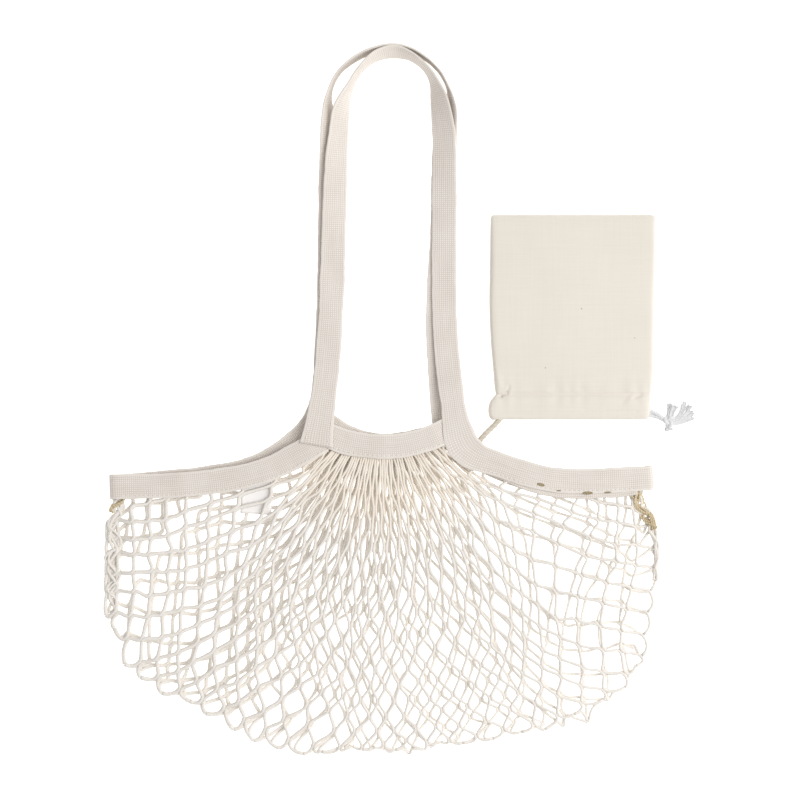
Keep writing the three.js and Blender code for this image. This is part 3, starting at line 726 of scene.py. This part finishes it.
BACK_SHADE = "#dfd8ce"
# Painted light in the gathered middle: a warm bounce tint on the front, a paler tint lifting the back's
# shade.
FRONT_GATHER_BOUNCE = "#ede3d5"
BACK_GATHER_LIFT = "#fdf5ea"
BOUNCE_REACH = (68.0, 118.0)
BOUNCE_SHARE = 0.75
JITTER = 0.8
FOLD_JITTER = 2.6
HELD_SHARE = 0.25
LOOSE_RADIUS = (34.0, 104.0)
SHARED_GAP = 11.0
SLIDE_WAVES = 10
SHORTEST_SLIDE = 120.0
FRONT_SLIDE = 3.0
BACK_SLIDE = 4.6
BACK_SHIFT = np.array([  # x, how far the back layer has slipped to the right and up
    (-120, 7.0, 4.6), (-40, 2.2, 1.8), (60, 2.4, 1.2), (135, 6.5, -6.0),
])
YARN_OVERLAP = 1.0
END_TRIM = 20.0
END_TRIM_X = (186.0, 196.0)
FOOT_X = (-46.0, 46.0, 52.0)
MOUTH_TOP = -12.0

# Rows of joints go outward by what a strand of fixed length leaves after its slant.
cloth_radii = [FIRST_RADIUS]
while cloth_radii[-1] < MEAN_RADIUS - STRAND / 2:
    slant = cloth_radii[-1] * math.radians(HALF_COLUMN)
    cloth_radii.append(cloth_radii[-1] + math.sqrt(STRAND**2 - slant**2))
cloth_radii = np.array(cloth_radii)
FOLD_ROW = len(cloth_radii) - 1
stretch = (MEAN_RADIUS - FIRST_RADIUS) / (cloth_radii[-1] - FIRST_RADIUS)
cloth_radii = FIRST_RADIUS + (cloth_radii - FIRST_RADIUS) * stretch

chance = np.random.default_rng(19)
joint_offset = chance.normal(0, JITTER, (2, FOLD_ROW + 1, 2 * YARNS_EACH_WAY + 6, 2))
joint_offset[:, FOLD_ROW] = FOLD_JITTER * joint_offset[:1, FOLD_ROW]
slide_waves = chance.uniform(-1, 1, (2, 2, SLIDE_WAVES, 2)) * 2 * math.pi / SHORTEST_SLIDE
slide_phase = chance.uniform(0, 2 * math.pi, (2, 2, SLIDE_WAVES))


def slide(place, layer):
    """How far a layer has slid from its even fan at a place: a sum of long waves, of about unit size."""
    angle = np.einsum("...k,cwk->...cw", place, slide_waves[layer]) + slide_phase[layer]
    return np.sin(angle).sum(axis=-1) / math.sqrt(SLIDE_WAVES / 2)


def mouth_line(*bands):
    """The middle of a mouth's bands as a table of x and y, in order of x."""
    line = np.vstack([band[:, :2] for band in bands])
    return line[np.argsort(line[:, 0])]


front_mouth = mouth_line(
    front_left[front_left[:, 0] < FOOT_X[0]],
    front_centre[front_centre[:, 0] < FOOT_X[1]],
    front_handle[(front_handle[:, 0] > FOOT_X[2]) & (front_handle[:, 1] < MOUTH_TOP)],
)
back_mouth = mouth_line(
    back_handle[(back_handle[:, 0] < FOOT_X[0]) & (back_handle[:, 1] < MOUTH_TOP)],
    back_centre,
    back_right,
)


def ease(value, low, high):
    """A smooth step from 0 at low to 1 at high."""
    share = np.clip((value - low) / (high - low), 0, 1)
    return share * share * (3 - 2 * share)


def column_angle(column):
    """The angle of a column from straight down: nearly even, wider apart to the right and outward."""
    return HALF_COLUMN * column + COLUMN_DRIFT * column**2 + COLUMN_SPREAD * column**3


outline_turn = np.radians(OUTLINE[:, :1])
outline = MOUTH_MIDDLE + OUTLINE[:, 1:] * np.hstack([np.sin(outline_turn), -np.cos(outline_turn)])
outline_x, outline_y = (outline - FAN_MIDDLE).T
outline_angle = np.degrees(np.arctan2(outline_x, -outline_y))
outline_radius = np.hypot(outline_x, outline_y)

# Two yarns round the fold together at every second column, so the sides begin at one of those.
loop_column = np.arange(-YARNS_EACH_WAY, YARNS_EACH_WAY + 1)
loop_column = loop_column[(loop_column + FOLD_ROW) % 2 == 0]
left_side = loop_column[np.argmin(np.abs(column_angle(loop_column) + SIDE_ANGLE))]
right_side = loop_column[np.argmin(np.abs(column_angle(loop_column) - SIDE_ANGLE))]
left_corner = left_side - CORNER_COLUMNS[0]
right_corner = right_side + CORNER_COLUMNS[1]


def last_row(yarn):
    """The row where a yarn rounds the fold. Beyond a corner each yarn is one row shorter."""
    return FOLD_ROW - np.maximum(yarn - right_corner, 0) - np.maximum(left_corner - 1 - yarn, 0)


def yarn_line(yarn, row, layer):
    """The middle of net yarns. row counts rows of joints from the mouth to the fold.

    On the front a yarn swings between its own column and the next, and on the back it swings on the
    other side of the column where it rounds the fold. The last row is a quarter of an ellipse, so
    that front and back make a round loop. Columns fan out from the mouth up to a side angle and run
    side by side beyond it, with even rows, as long as the outline lets them be up to the corner, and
    then each one row shorter, so that strands lie level and upright there. The first of them crowd
    toward the gather near the mouth. A joint's chance offset and the layer's slide move them, shared
    by both near the fold, and the mouth's ends pull the sides outward, with loops pressed in past a
    limit. The front dips under the mouth tape and comes down to the fold. Returns the points and the
    yarn's thickness, which swells where the net is slack at the left.
    """
    end_row = last_row(yarn)
    level = np.minimum(np.floor(row), end_row - 1)
    share = row - level
    flat = JOINT / 2 / STRAND
    swing = np.clip((share - flat) / (1 - 2 * flat), 0, 1)
    swing = 0.7 * swing + 0.3 * swing * swing * (3 - 2 * swing)
    in_loop = level == end_row - 1
    bend = share * math.pi / 2
    swing = np.where(in_loop, 1 - np.cos(bend), swing)
    outward_share = np.where(in_loop, np.sin(bend), share)
    starts_aside = (level + yarn) % 2
    aside = np.where(starts_aside == 0, swing, 1 - swing)
    reach = np.interp(level + outward_share, np.arange(len(cloth_radii)), cloth_radii)
    thickness = GATHERED_YARN[layer] + (YARN - GATHERED_YARN[layer]) * ease(reach, *GATHERED_REACH)
    beside = thickness * JOINT_SPREAD * (1 - 2 * aside) * np.where(in_loop, np.cos(bend), 1)
    rounds_at = (end_row + yarn) % 2
    ends_aside = 1 - starts_aside
    if layer == 1:
        aside = 2 * rounds_at - aside
        starts_aside = 2 * rounds_at - starts_aside
        ends_aside = 2 * rounds_at - ends_aside
        beside = -beside
    column = yarn + aside
    fanned = np.clip(column, left_side, right_side)
    cornered = np.clip(column, left_corner, right_corner)
    rows_out = level + outward_share + np.abs(column - cornered)
    gap = MEAN_RADIUS - np.interp(rows_out, np.arange(len(cloth_radii)), cloth_radii)
    held = column_angle(fanned)
    corner_aslant = SIDE_COLUMN * (cornered - fanned)
    length = np.interp(held, outline_angle, outline_radius)
    for _ in range(OUTLINE_ROUNDS):
        edge_angle = held + np.degrees(np.arctan2(corner_aslant, length))
        edge = np.interp(edge_angle, outline_angle, outline_radius)
        length = np.sqrt(edge**2 - corner_aslant**2)
    loop_depth = np.interp(edge_angle, LOOP_DEPTH[:, 0], LOOP_DEPTH[:, 1])
    shallow = (1 - loop_depth) * (MEAN_RADIUS - cloth_radii[-2])
    reach = reach + shallow * np.clip((reach - FIRST_RADIUS) / (cloth_radii[-2] - FIRST_RADIUS), 0, 1)
    reach = np.where(in_loop & (end_row == FOLD_ROW), reach - shallow * np.sin(bend), reach)
    radius = reach * length / MEAN_RADIUS
    even_radius = length - SIDE_ROW * (FOLD_ROW - level - outward_share)
    radius = radius + (even_radius - radius) * ease(np.abs(column - fanned), *SIDE_BLEND)
    beyond = column - fanned
    crowding = CROWDING * np.exp(-((beyond / CROWDED_COLUMNS) ** 2)) * ease(radius, *CROWDED_RADIUS)
    aslant = SIDE_COLUMN * beyond * (1 - crowding)
    turn = np.radians(held)
    outward = np.stack([np.sin(turn), -np.cos(turn)], axis=-1)
    sideways = np.stack([np.cos(turn), np.sin(turn)], axis=-1)
    place = FAN_MIDDLE + radius[..., None] * outward + (beside + aslant)[..., None] * sideways
    place[..., 1] += GATHER_RISE * (1 - reach / MEAN_RADIUS)

    joint = level.astype(int)
    first_column = (yarn + starts_aside).astype(int) + YARNS_EACH_WAY + 2
    last_column = (yarn + ends_aside).astype(int) + YARNS_EACH_WAY + 2
    jolt = joint_offset[layer, joint, first_column]
    jolt = jolt + (joint_offset[layer, joint + 1, last_column] - jolt) * swing[..., None]
    own = (layer * ease(gap, 0, SHARED_GAP))[..., None]
    shift = [np.interp(place[..., 0], BACK_SHIFT[:, 0], slip) for slip in BACK_SHIFT[:, 1:].T]
    shift = np.stack(shift, axis=-1)
    slid = FRONT_SLIDE * slide(place, 0) * (1 - own) + (BACK_SLIDE * slide(place, 1) + shift) * own
    loose = ease(radius, *LOOSE_RADIUS)
    place = place + (jolt + slid) * (HELD_SHARE + (1 - HELD_SHARE) * loose[..., None])
    from_middle = place[..., 0] - MOUTH_MIDDLE[0]
    pull = ease(np.abs(from_middle), *SIDE_PULL_X) * ease(place[..., 1], *SIDE_PULL_Y)
    place[..., 0] += np.where(from_middle < 0, *SIDE_PULLS) * pull
    place[..., 0] -= (1 - SIDE_GIVE) * (place[..., 0] - np.clip(place[..., 0], *SIDE_LIMITS))

    below = np.interp(place[..., 0], front_mouth[:, 0], front_mouth[:, 1]) - HALF_BAND
    below = below - place[..., 1]
    below = below - hem_shows(place[..., 0])
    if layer == 0:
        height = FRONT_MOUTH_LEVEL + (FRONT_LEVEL - FRONT_MOUTH_LEVEL) * ease(below, *MOUTH_DIP)
        height = FOLD_LEVEL + (height - FOLD_LEVEL) * ease(gap, 0, FOLD_WIDTH)
    else:
        height = FOLD_LEVEL + (BACK_LEVEL - FOLD_LEVEL) * ease(gap, 0, BACK_FOLD_WIDTH)
    thickness = thickness * (1 + SLACK_SWELL * ease(place[..., 0], *SLACK_X) * loose)
    return np.concatenate([place, height[..., None]], axis=-1), thickness


def round_yarns(line, strand, thickness):
    """The run along lines of points, and round sections that follow the thickness at each point."""
    along = np.cumsum(np.linalg.norm(np.diff(line, axis=1, prepend=line[:, :1]), axis=-1), axis=1)
    uneven = 1 + 0.07 * np.sin(along / 3.1 + strand * 2.3) + 0.04 * np.sin(along / 1.3 + strand)
    return along, (thickness * uneven)[..., None, None] / 2 * circle(YARN_CORNERS)


def net_layer(layer, mouth):
    """Points, quads and runs of one layer's yarns, from the fold to under the mouth tape.

    A yarn ends where it first passes the middle of the tape, and is a little thicker at its joints.
    """
    rows = np.arange(FOLD_ROW * RINGS_PER_ROW, -1, -1) / RINGS_PER_ROW
    yarns = np.arange(-YARNS_EACH_WAY, YARNS_EACH_WAY)
    strand, row = np.meshgrid(yarns[last_row(yarns) >= SHORTEST_YARN], rows, indexing="ij")
    line, thickness = yarn_line(strand, row, layer)
    top = np.interp(line[..., 0], mouth[:, 0], mouth[:, 1]) - YARN_OVERLAP
    passed = line[..., 1] > top - END_TRIM * ease(np.abs(line[..., 0]), *END_TRIM_X)
    inside = row <= last_row(strand)
    shown = inside & (np.cumsum(passed & inside, axis=1) == 0)
    shown &= shown.sum(axis=1, keepdims=True) > RINGS_PER_ROW // 2
    from_joint = np.abs(row - np.round(row)) * STRAND
    thickness = thickness * (1 + JOINT_SWELL * (1 - ease(from_joint, 0, JOINT)))
    along, section = round_yarns(line, strand, thickness)
    _, right, over = steer(line)
    points = carry(line[shown], right[shown], over[shown], section[shown])
    quads, run = wrap(strand[shown], np.linspace(0, 1, YARN_CORNERS + 1), along[shown])
    return points.reshape(-1, 3), quads, run


def net_cotton(name, light, shade, gathered):
    """Loosely spun yarn, with a tint of painted light where the strands crowd below the mouth.

    On the front the tint is painted warm bounce light among the crowded strands, and on the back it is
    paler, painted light that lifts the shade in the slits. It fades out with the distance from the
    middle of the mouth.
    """
    material = twisted_cotton(name, light, shade, 2, 5.0, relief=0.1, groove=0.08)
    tree = material.node_tree
    base = tree.nodes["Principled BSDF"].inputs["Base Color"]
    yarn_colour = base.links[0].from_socket
    spot = add_node(tree, "ShaderNodeTexCoord").outputs["Object"]
    middle = (*MOUTH_MIDDLE * MILLIMETRE, 0.0)
    away = reckon(tree, "DISTANCE", spot, middle, kind="VectorMath", output="Value")
    near, far = (reach * MILLIMETRE for reach in BOUNCE_REACH)
    crowded = span(tree, away, near, far, ends=(BOUNCE_SHARE, 0.0), course="SMOOTHSTEP")
    tree.links.new(blend(tree, crowded, yarn_colour, linear(gathered)), base)
    return material


# Spun yarn shows a slanting twist close to, and from farther off a soft, uneven strand. The back
# layer is painted paler than the front one, as painted light that offsets the shade the front casts.
front_cotton = net_cotton(
    "natural cotton yarn, loosely spun, front layer", FRONT_LIGHT, FRONT_SHADE, FRONT_GATHER_BOUNCE
)
back_cotton = net_cotton("natural cotton yarn, loosely spun", BACK_LIGHT, BACK_SHADE, BACK_GATHER_LIFT)
put_piece("net_front", *net_layer(0, front_mouth), front_cotton, "net", "front_net")
put_piece("net_back", *net_layer(1, back_mouth), back_cotton, "net", "back_net")


# Net ends. At each end of the mouth the outermost yarns are drawn together under the tape's fold and
# hang down the bag's edge in loose loops, tied at the top by a few turns of raw tan yarn.
END_STEP = 1.5
LEFT_END = np.array([  # x, y, z, sway
    (-189.5, -66.0, 5.6, 4.5), (-191.7, -74.8, 5.4, 5.0), (-195.4, -84.3, 5.0, 5.0),
    (-194.4, -97.5, 4.6, 5.5), (-197.0, -112.2, 4.2, 5.5), (-195.6, -128.3, 3.8, 5.0),
    (-196.4, -141.0, 3.4, 4.5), (-196.6, -156.0, 3.0, 3.5),
])
RIGHT_END = np.array([
    (184.5, -62.0, 5.6, 5.0), (187.0, -71.0, 5.4, 5.0), (191.0, -80.6, 5.2, 5.0),
    (196.8, -89.6, 5.0, 4.2), (200.2, -99.0, 4.6, 2.4), (201.2, -110.0, 4.2, 1.5),
    (201.4, -121.0, 3.8, 1.3), (200.2, -132.0, 3.2, 1.3),
])
END_YARNS = 6
END_YARN = 2.2
TIE_YARN = 1.5
TIE_SWAY = 0.85
TIE_RISE = 1.6


def hanging_yarns(path, count, seed, thickness):
    """Yarns that follow a path together, each swinging aside by its sway in waves of 20 to 34 mm."""
    route = smooth_route(path, END_STEP)
    line = route[:, :3]
    sway = route[None, :, 3:]
    _, right, _ = steer(line)
    along = run_length(line)[None, :, None]
    mix = np.random.default_rng(seed)
    phase, lift = mix.uniform(0, 2 * math.pi, (2, count, 1, 1))
    wave = 2 * math.pi * along / mix.uniform(20, 34, (count, 1, 1))
    reach = sway * mix.uniform(0.5, 1.0, (count, 1, 1))
    lines = line + right * reach * np.sin(wave + phase) + UP * 1.3 * np.sin(wave * 0.7 + lift)
    strand = np.broadcast_to(np.arange(count)[:, None], lines.shape[:2])
    along, section = round_yarns(lines, strand, np.full(lines.shape[:2], thickness))
    return sweep(lines, section, along)


# The tie's raw yarn is the same as shows in the hem, and is thickest at the right end.
for side, path, seed, ties, tie_length in (
    ("left", LEFT_END, 51, 3, 22.0),
    ("right", RIGHT_END, 61, 9, 38.0),
):
    end_yarns = hanging_yarns(path, END_YARNS, seed, END_YARN)
    put_piece(f"net_{side}_end", *end_yarns, front_cotton, "net", "front_net")
    top = smooth_route(path, END_STEP)
    top = top[run_length(top[:, :3]) < tie_length][::3] * (1, 1, 1, TIE_SWAY) + (0, 0, TIE_RISE, 0)
    tie_yarns = hanging_yarns(top, ties, seed + 1, TIE_YARN)
    put_piece(f"net_{side}_tie", *tie_yarns, raw_cotton, "net", "front_net")


# Care label. A small white satin tag sewn into the mouth seam behind the front net. It is blank.
LABEL_MIDDLE = np.array([-92.0, -70.0, 6.6])
LABEL_WIDTH = 22.6
LABEL_LENGTH = 26.6
LABEL_THICK = 0.5
LABEL_COLUMNS = 13
LABEL_ROWS = 15
LABEL_WHITE = "#f8f5f3"
LABEL_SHADE = "#ebe7e5"

sideways = np.linspace(-0.5, 0.5, LABEL_COLUMNS)
lengthways = np.linspace(0.5, -0.5, LABEL_ROWS)
label_along = LABEL_LENGTH * (0.5 - lengthways)
label_across = np.concatenate([sideways[::-1], sideways])
label_face = np.repeat((1.0, -1.0), LABEL_COLUMNS)
label_middle = LABEL_MIDDLE + np.stack(
    [0.6 * np.sin(label_along / 9), LABEL_LENGTH * lengthways, 0.5 * np.sin(label_along / 8)], axis=-1
)
_, label_right, label_over = steer(label_middle)
label_curl = 0.5 * np.sin(label_along / 11)[:, None] * (label_across * 2) ** 2
label_section = np.stack(
    [
        np.broadcast_to(LABEL_WIDTH * label_across, label_curl.shape),
        label_curl + LABEL_THICK / 2 * label_face,
    ],
    axis=-1,
)
label_quads, label_run = wrap(
    np.zeros(LABEL_ROWS, int), LABEL_WIDTH * np.append(label_across, label_across[0]), label_along
)

# Satin is smooth and bright, with fine threads across it.
label_satin, tree, shader = start_cotton("white polyester satin, woven")
shader.inputs["Roughness"].default_value = 0.5
shader.inputs["Specular IOR Level"].default_value = 0.4
run = add_node(tree, "ShaderNodeUVMap", uv_map="run").outputs[0]
threads = add_node(
    tree,
    "ShaderNodeTexWave",
    {"Vector": run, "Scale": 0.35, "Distortion": 1.5, "Detail": 2.0},
    bands_direction="Y",
)
colour = blend(tree, threads.outputs["Fac"], linear(LABEL_SHADE), linear(LABEL_WHITE))
tree.links.new(colour, shader.inputs["Base Color"])
care_label = put_piece(
    "care_label_tag",
    carry(label_middle, label_right, label_over, label_section),
    label_quads,
    label_run,
    label_satin,
    "label",
    "care_label",
)


# Pouch. A strip of unbleached calico folded across the closed end and seamed up both sides. Its
# mouth is turned over into a casing for the string, sewn down by one row of stitches.
POUCH_MIDDLE = np.array([140.0, -14.4])
CLOTH_WALL = 0.9
CASING = 18.6
CALICO_LIGHT = "#e2dbd1"
CALICO_SHADE = "#dbd4c8"
FLECK = "#8d7a63"
POUCH = np.array([  # up from the mouth, left edge, right edge, thickness
    (150.0, -58.2, 59.2, 2.6), (149.3, -59.4, 60.4, 3.4), (147.6, -60.0, 61.0, 4.6),
    (143.0, -60.2, 61.0, 6.0), (115.0, -60.6, 60.6, 7.6), (84.0, -61.0, 59.8, 8.0),
    (58.0, -60.0, 59.4, 8.0), (34.0, -58.0, 59.0, 7.8), (24.0, -57.2, 58.2, 7.4),
    (20.4, -56.6, 57.7, 6.9), (18.6, -56.2, 57.3, 6.3), (17.0, -57.6, 57.2, 6.9),
    (13.0, -60.6, 57.0, 7.4), (7.0, -61.8, 56.8, 7.4), (2.6, -61.2, 56.2, 7.2),
    (0.6, -60.0, 55.2, 6.6), (0.0, -59.0, 54.4, 5.6),
])
POUCH_STEP = 0.9
POUCH_GIRTH = 242.0
CROWN_POWER = 48
PLY_COLUMNS = 121
INNER_RING_STEP = 4
FLECKS = np.array([  # x, y, radius
    (146.2, 66.7, 0.55), (185.1, 45.4, 0.45), (119.8, 23.5, 0.5),
])
CREASES = np.array([  # start aside and up from the mouth, end aside and up, half width, depth
    (-60.0, 17.4, -52.5, 17.2, 1.0, 1.7),
    (-52.5, 17.2, -48.4, 19.6, 0.9, 1.4),
    (-48.4, 19.6, -46.6, 24.2, 0.9, 0.9),
    (-44.0, 18.9, 56.0, 18.3, 0.8, 0.42),
    (44.6, 15.8, 49.8, 18.2, 0.9, 0.8),
    (8.0, 6.6, 47.0, 6.0, 0.8, 0.5),
    (-16.0, 21.6, 6.0, 23.4, 1.5, 0.3),
    (36.0, 12.4, 41.0, 17.6, 1.3, 0.3),
])
pouch_edges = np.zeros((len(POUCH), 6))
pouch_edges[:, 1] = POUCH[:, 0]
pouch_edges[:, 3:] = POUCH[:, 1:]
pouch_rows = smooth_route(pouch_edges, POUCH_STEP)
pouch_up, pouch_left, pouch_right, pouch_thick = pouch_rows[:, 1], *pouch_rows[:, 3:].T


def ply_creases(x, up):
    """How far the upper ply stands off its smooth form.

    Puckers lie along the casing's stitches and fade over 20 mm on either side, a fold rises from its
    cinched left end, and slow waves cross the rest. Each crease is a valley whose depth falls off
    with the square of the distance from its line, as a bell curve does.
    """
    pucker = np.sin(x / 1.9 + 1.7 * np.sin(x / 8.3)) + 0.7 * np.sin(x / 3.4 + 2.0)
    near_seam = np.exp(-(((up - CASING) / 9) ** 2)) * (1 - np.exp(-(((up - CASING) / 1.6) ** 2)))
    fold = 0.45 * np.exp(-(((x + 51 + 0.35 * (up - CASING)) / 2.6) ** 2))
    fold = fold * ease(up, CASING, CASING + 6) * (1 - ease(up, CASING + 10, CASING + 30))
    slow = 0.22 * np.sin(x / 17 + up / 41) + 0.2 * np.sin(x / 29 - up / 23 + 1)
    slow = slow + 0.14 * np.sin(up / 13 + x / 57)
    stand = 0.22 * pucker * near_seam + fold + slow
    for from_x, from_up, to_x, to_up, half_width, depth in CREASES:
        run_x, run_up = to_x - from_x, to_up - from_up
        share = ((x - from_x) * run_x + (up - from_up) * run_up) / (run_x**2 + run_up**2)
        share = np.clip(share, 0, 1)
        away = np.hypot(x - from_x - share * run_x, up - from_up - share * run_up)
        stand = stand - depth * np.exp(-((away / half_width) ** 2))
    return stand


def pouch_ply(wall):
    """Rings of the pouch from the closed end to the mouth, moved inward by a wall.

    The lower half of a ring is flat with its edges rolled up, and the upper half is a low crown.
    """
    turn = np.linspace(-math.pi / 2, math.pi / 2, PLY_COLUMNS)
    over = np.sin(turn)
    top = 0.3 + 0.7 * np.sqrt(1 - over**CROWN_POWER)
    under = 0.3 * (1 - np.sqrt(1 - np.abs(over[::-1][1:-1]) ** 40))
    across = np.concatenate([over, over[::-1][1:-1]])
    height = np.concatenate([top, under])
    upper = np.concatenate([ease(1 - np.abs(over), 0, 0.06), np.zeros(PLY_COLUMNS - 2)])
    half = ((pouch_right - pouch_left) / 2 - 1.1 * wall)[:, None]
    x = ((pouch_right + pouch_left) / 2)[:, None] + half * across
    up = np.broadcast_to(pouch_up[:, None], x.shape)
    z = wall + (pouch_thick[:, None] - 2 * wall) * height
    z = z + upper * ply_creases(x, up) * ease(up, 0, 4)
    return np.stack([x + POUCH_MIDDLE[0], up + POUCH_MIDDLE[1], z], axis=-1)


def calico(name):
    """Unbleached plain-weave cloth: uneven threads both ways, faint clouds and a few seed flecks."""
    material, tree, shader = start_cotton(name)
    spot = add_node(tree, "ShaderNodeTexCoord").outputs["Object"]
    along, across = (
        add_node(tree, "ShaderNodeMapping", {0: spot, "Scale": scale}).outputs[0]
        for scale in ((900.0, 26.0, 30.0), (26.0, 900.0, 30.0))
    )
    threads = reckon(tree, "ADD", noise(tree, along, 1.0, 3.0), noise(tree, across, 1.0, 3.0))
    lit = reckon(tree, "ADD", threads, noise(tree, spot, 22.0, 3.0))
    colour = blend(tree, span(tree, lit, 0.75, 1.85), linear(CALICO_SHADE), linear(CALICO_LIGHT))
    flat_spot = reckon(tree, "MULTIPLY", spot, (1.0, 1.0, 0.0), kind="VectorMath")
    for x, y, radius in FLECKS * MILLIMETRE:
        away = reckon(tree, "DISTANCE", flat_spot, (x, y, 0.0), kind="VectorMath", output="Value")
        mark = span(tree, away, 0.4 * radius, 1.3 * radius, ends=(0.75, 0.0))
        colour = blend(tree, mark, colour, linear(FLECK))
    end_cotton(tree, shader, colour, threads, 0.12, 0.3)
    return material


# Threads of calico are finer than the picture shows, so they are drawn about a millimetre apart.
pouch_calico = calico("unbleached calico, plain woven")
outer_ply = pouch_ply(0.0)
inner_ply = pouch_ply(CLOTH_WALL)[:1:-INNER_RING_STEP]
pouch_points = np.vstack([outer_ply, inner_ply])
ring_corners = pouch_points.shape[1]
pouch_quads, pouch_run = wrap(
    np.zeros(len(pouch_points), int),
    np.linspace(0, POUCH_GIRTH, ring_corners + 1),
    np.concatenate([-pouch_up, -pouch_up[:1:-INNER_RING_STEP]]),
)
pouch = put_piece(
    "pouch_cloth", pouch_points, pouch_quads, pouch_run, pouch_calico, "calico", "pouch"
)


# Floor and light. A white sheet lit so brightly that the bag's shadows hardly show on it, one large
# soft light over the bag from the right, a lamp nearer by on the same side, and an even white room.
FLOOR_SIZE = 8.0
FLOOR_DROP = -0.0006
FLOOR_GLOW = 0.76
ROOM_GLOW = 0.58
LIGHT_STRENGTH = 1.45
LIGHT_BREADTH = 40.0
LIGHT_PLACE = (1.05, 0.0, 1.7)
LAMP_POWER = 1.6
LAMP_SIZE = 0.5
LAMP_PLACE = (0.7, 0.0, 0.6)

floor_mesh = bpy.data.meshes.new("studio_floor")
corner = FLOOR_SIZE / 2
floor_mesh.from_pydata(
    [(x * corner, y * corner, FLOOR_DROP) for x, y in ((-1, -1), (1, -1), (1, 1), (-1, 1))],
    [],
    [(0, 1, 2, 3)],
)
floor = bpy.data.objects.new("studio_floor", floor_mesh)
bpy.context.collection.objects.link(floor)
floor_white = bpy.data.materials.new("white paper, backlit")
floor_white.use_nodes = True
floor_shader = floor_white.node_tree.nodes["Principled BSDF"]
floor_shader.inputs["Base Color"].default_value = (0.85, 0.85, 0.85, 1.0)
floor_shader.inputs["Roughness"].default_value = 1.0
floor_shader.inputs["Specular IOR Level"].default_value = 0.0
floor_shader.inputs["Emission Color"].default_value = (1.0, 1.0, 1.0, 1.0)
floor_shader.inputs["Emission Strength"].default_value = FLOOR_GLOW
floor_mesh.materials.append(floor_white)

room = bpy.data.worlds.new("white room")
room.use_nodes = True
room.node_tree.nodes["Background"].inputs["Color"].default_value = (1.0, 1.0, 1.0, 1.0)
room.node_tree.nodes["Background"].inputs["Strength"].default_value = ROOM_GLOW
bpy.context.scene.world = room
light = bpy.data.lights.new("soft_light", "SUN")
light.energy = LIGHT_STRENGTH
light.angle = math.radians(LIGHT_BREADTH)
lamp = bpy.data.lights.new("near_lamp", "AREA")
lamp.energy = LAMP_POWER
lamp.size = LAMP_SIZE
for source, place in ((light, LIGHT_PLACE), (lamp, LAMP_PLACE)):
    placed = bpy.data.objects.new(source.name, source)
    placed.location = place
    aim = -np.array(place) / np.linalg.norm(place)
    placed.rotation_euler = (math.acos(-aim[2]), 0.0, math.atan2(aim[1], aim[0]) - math.pi / 2)
    bpy.context.collection.objects.link(placed)
bpy.context.scene.view_settings.view_transform = "Standard"
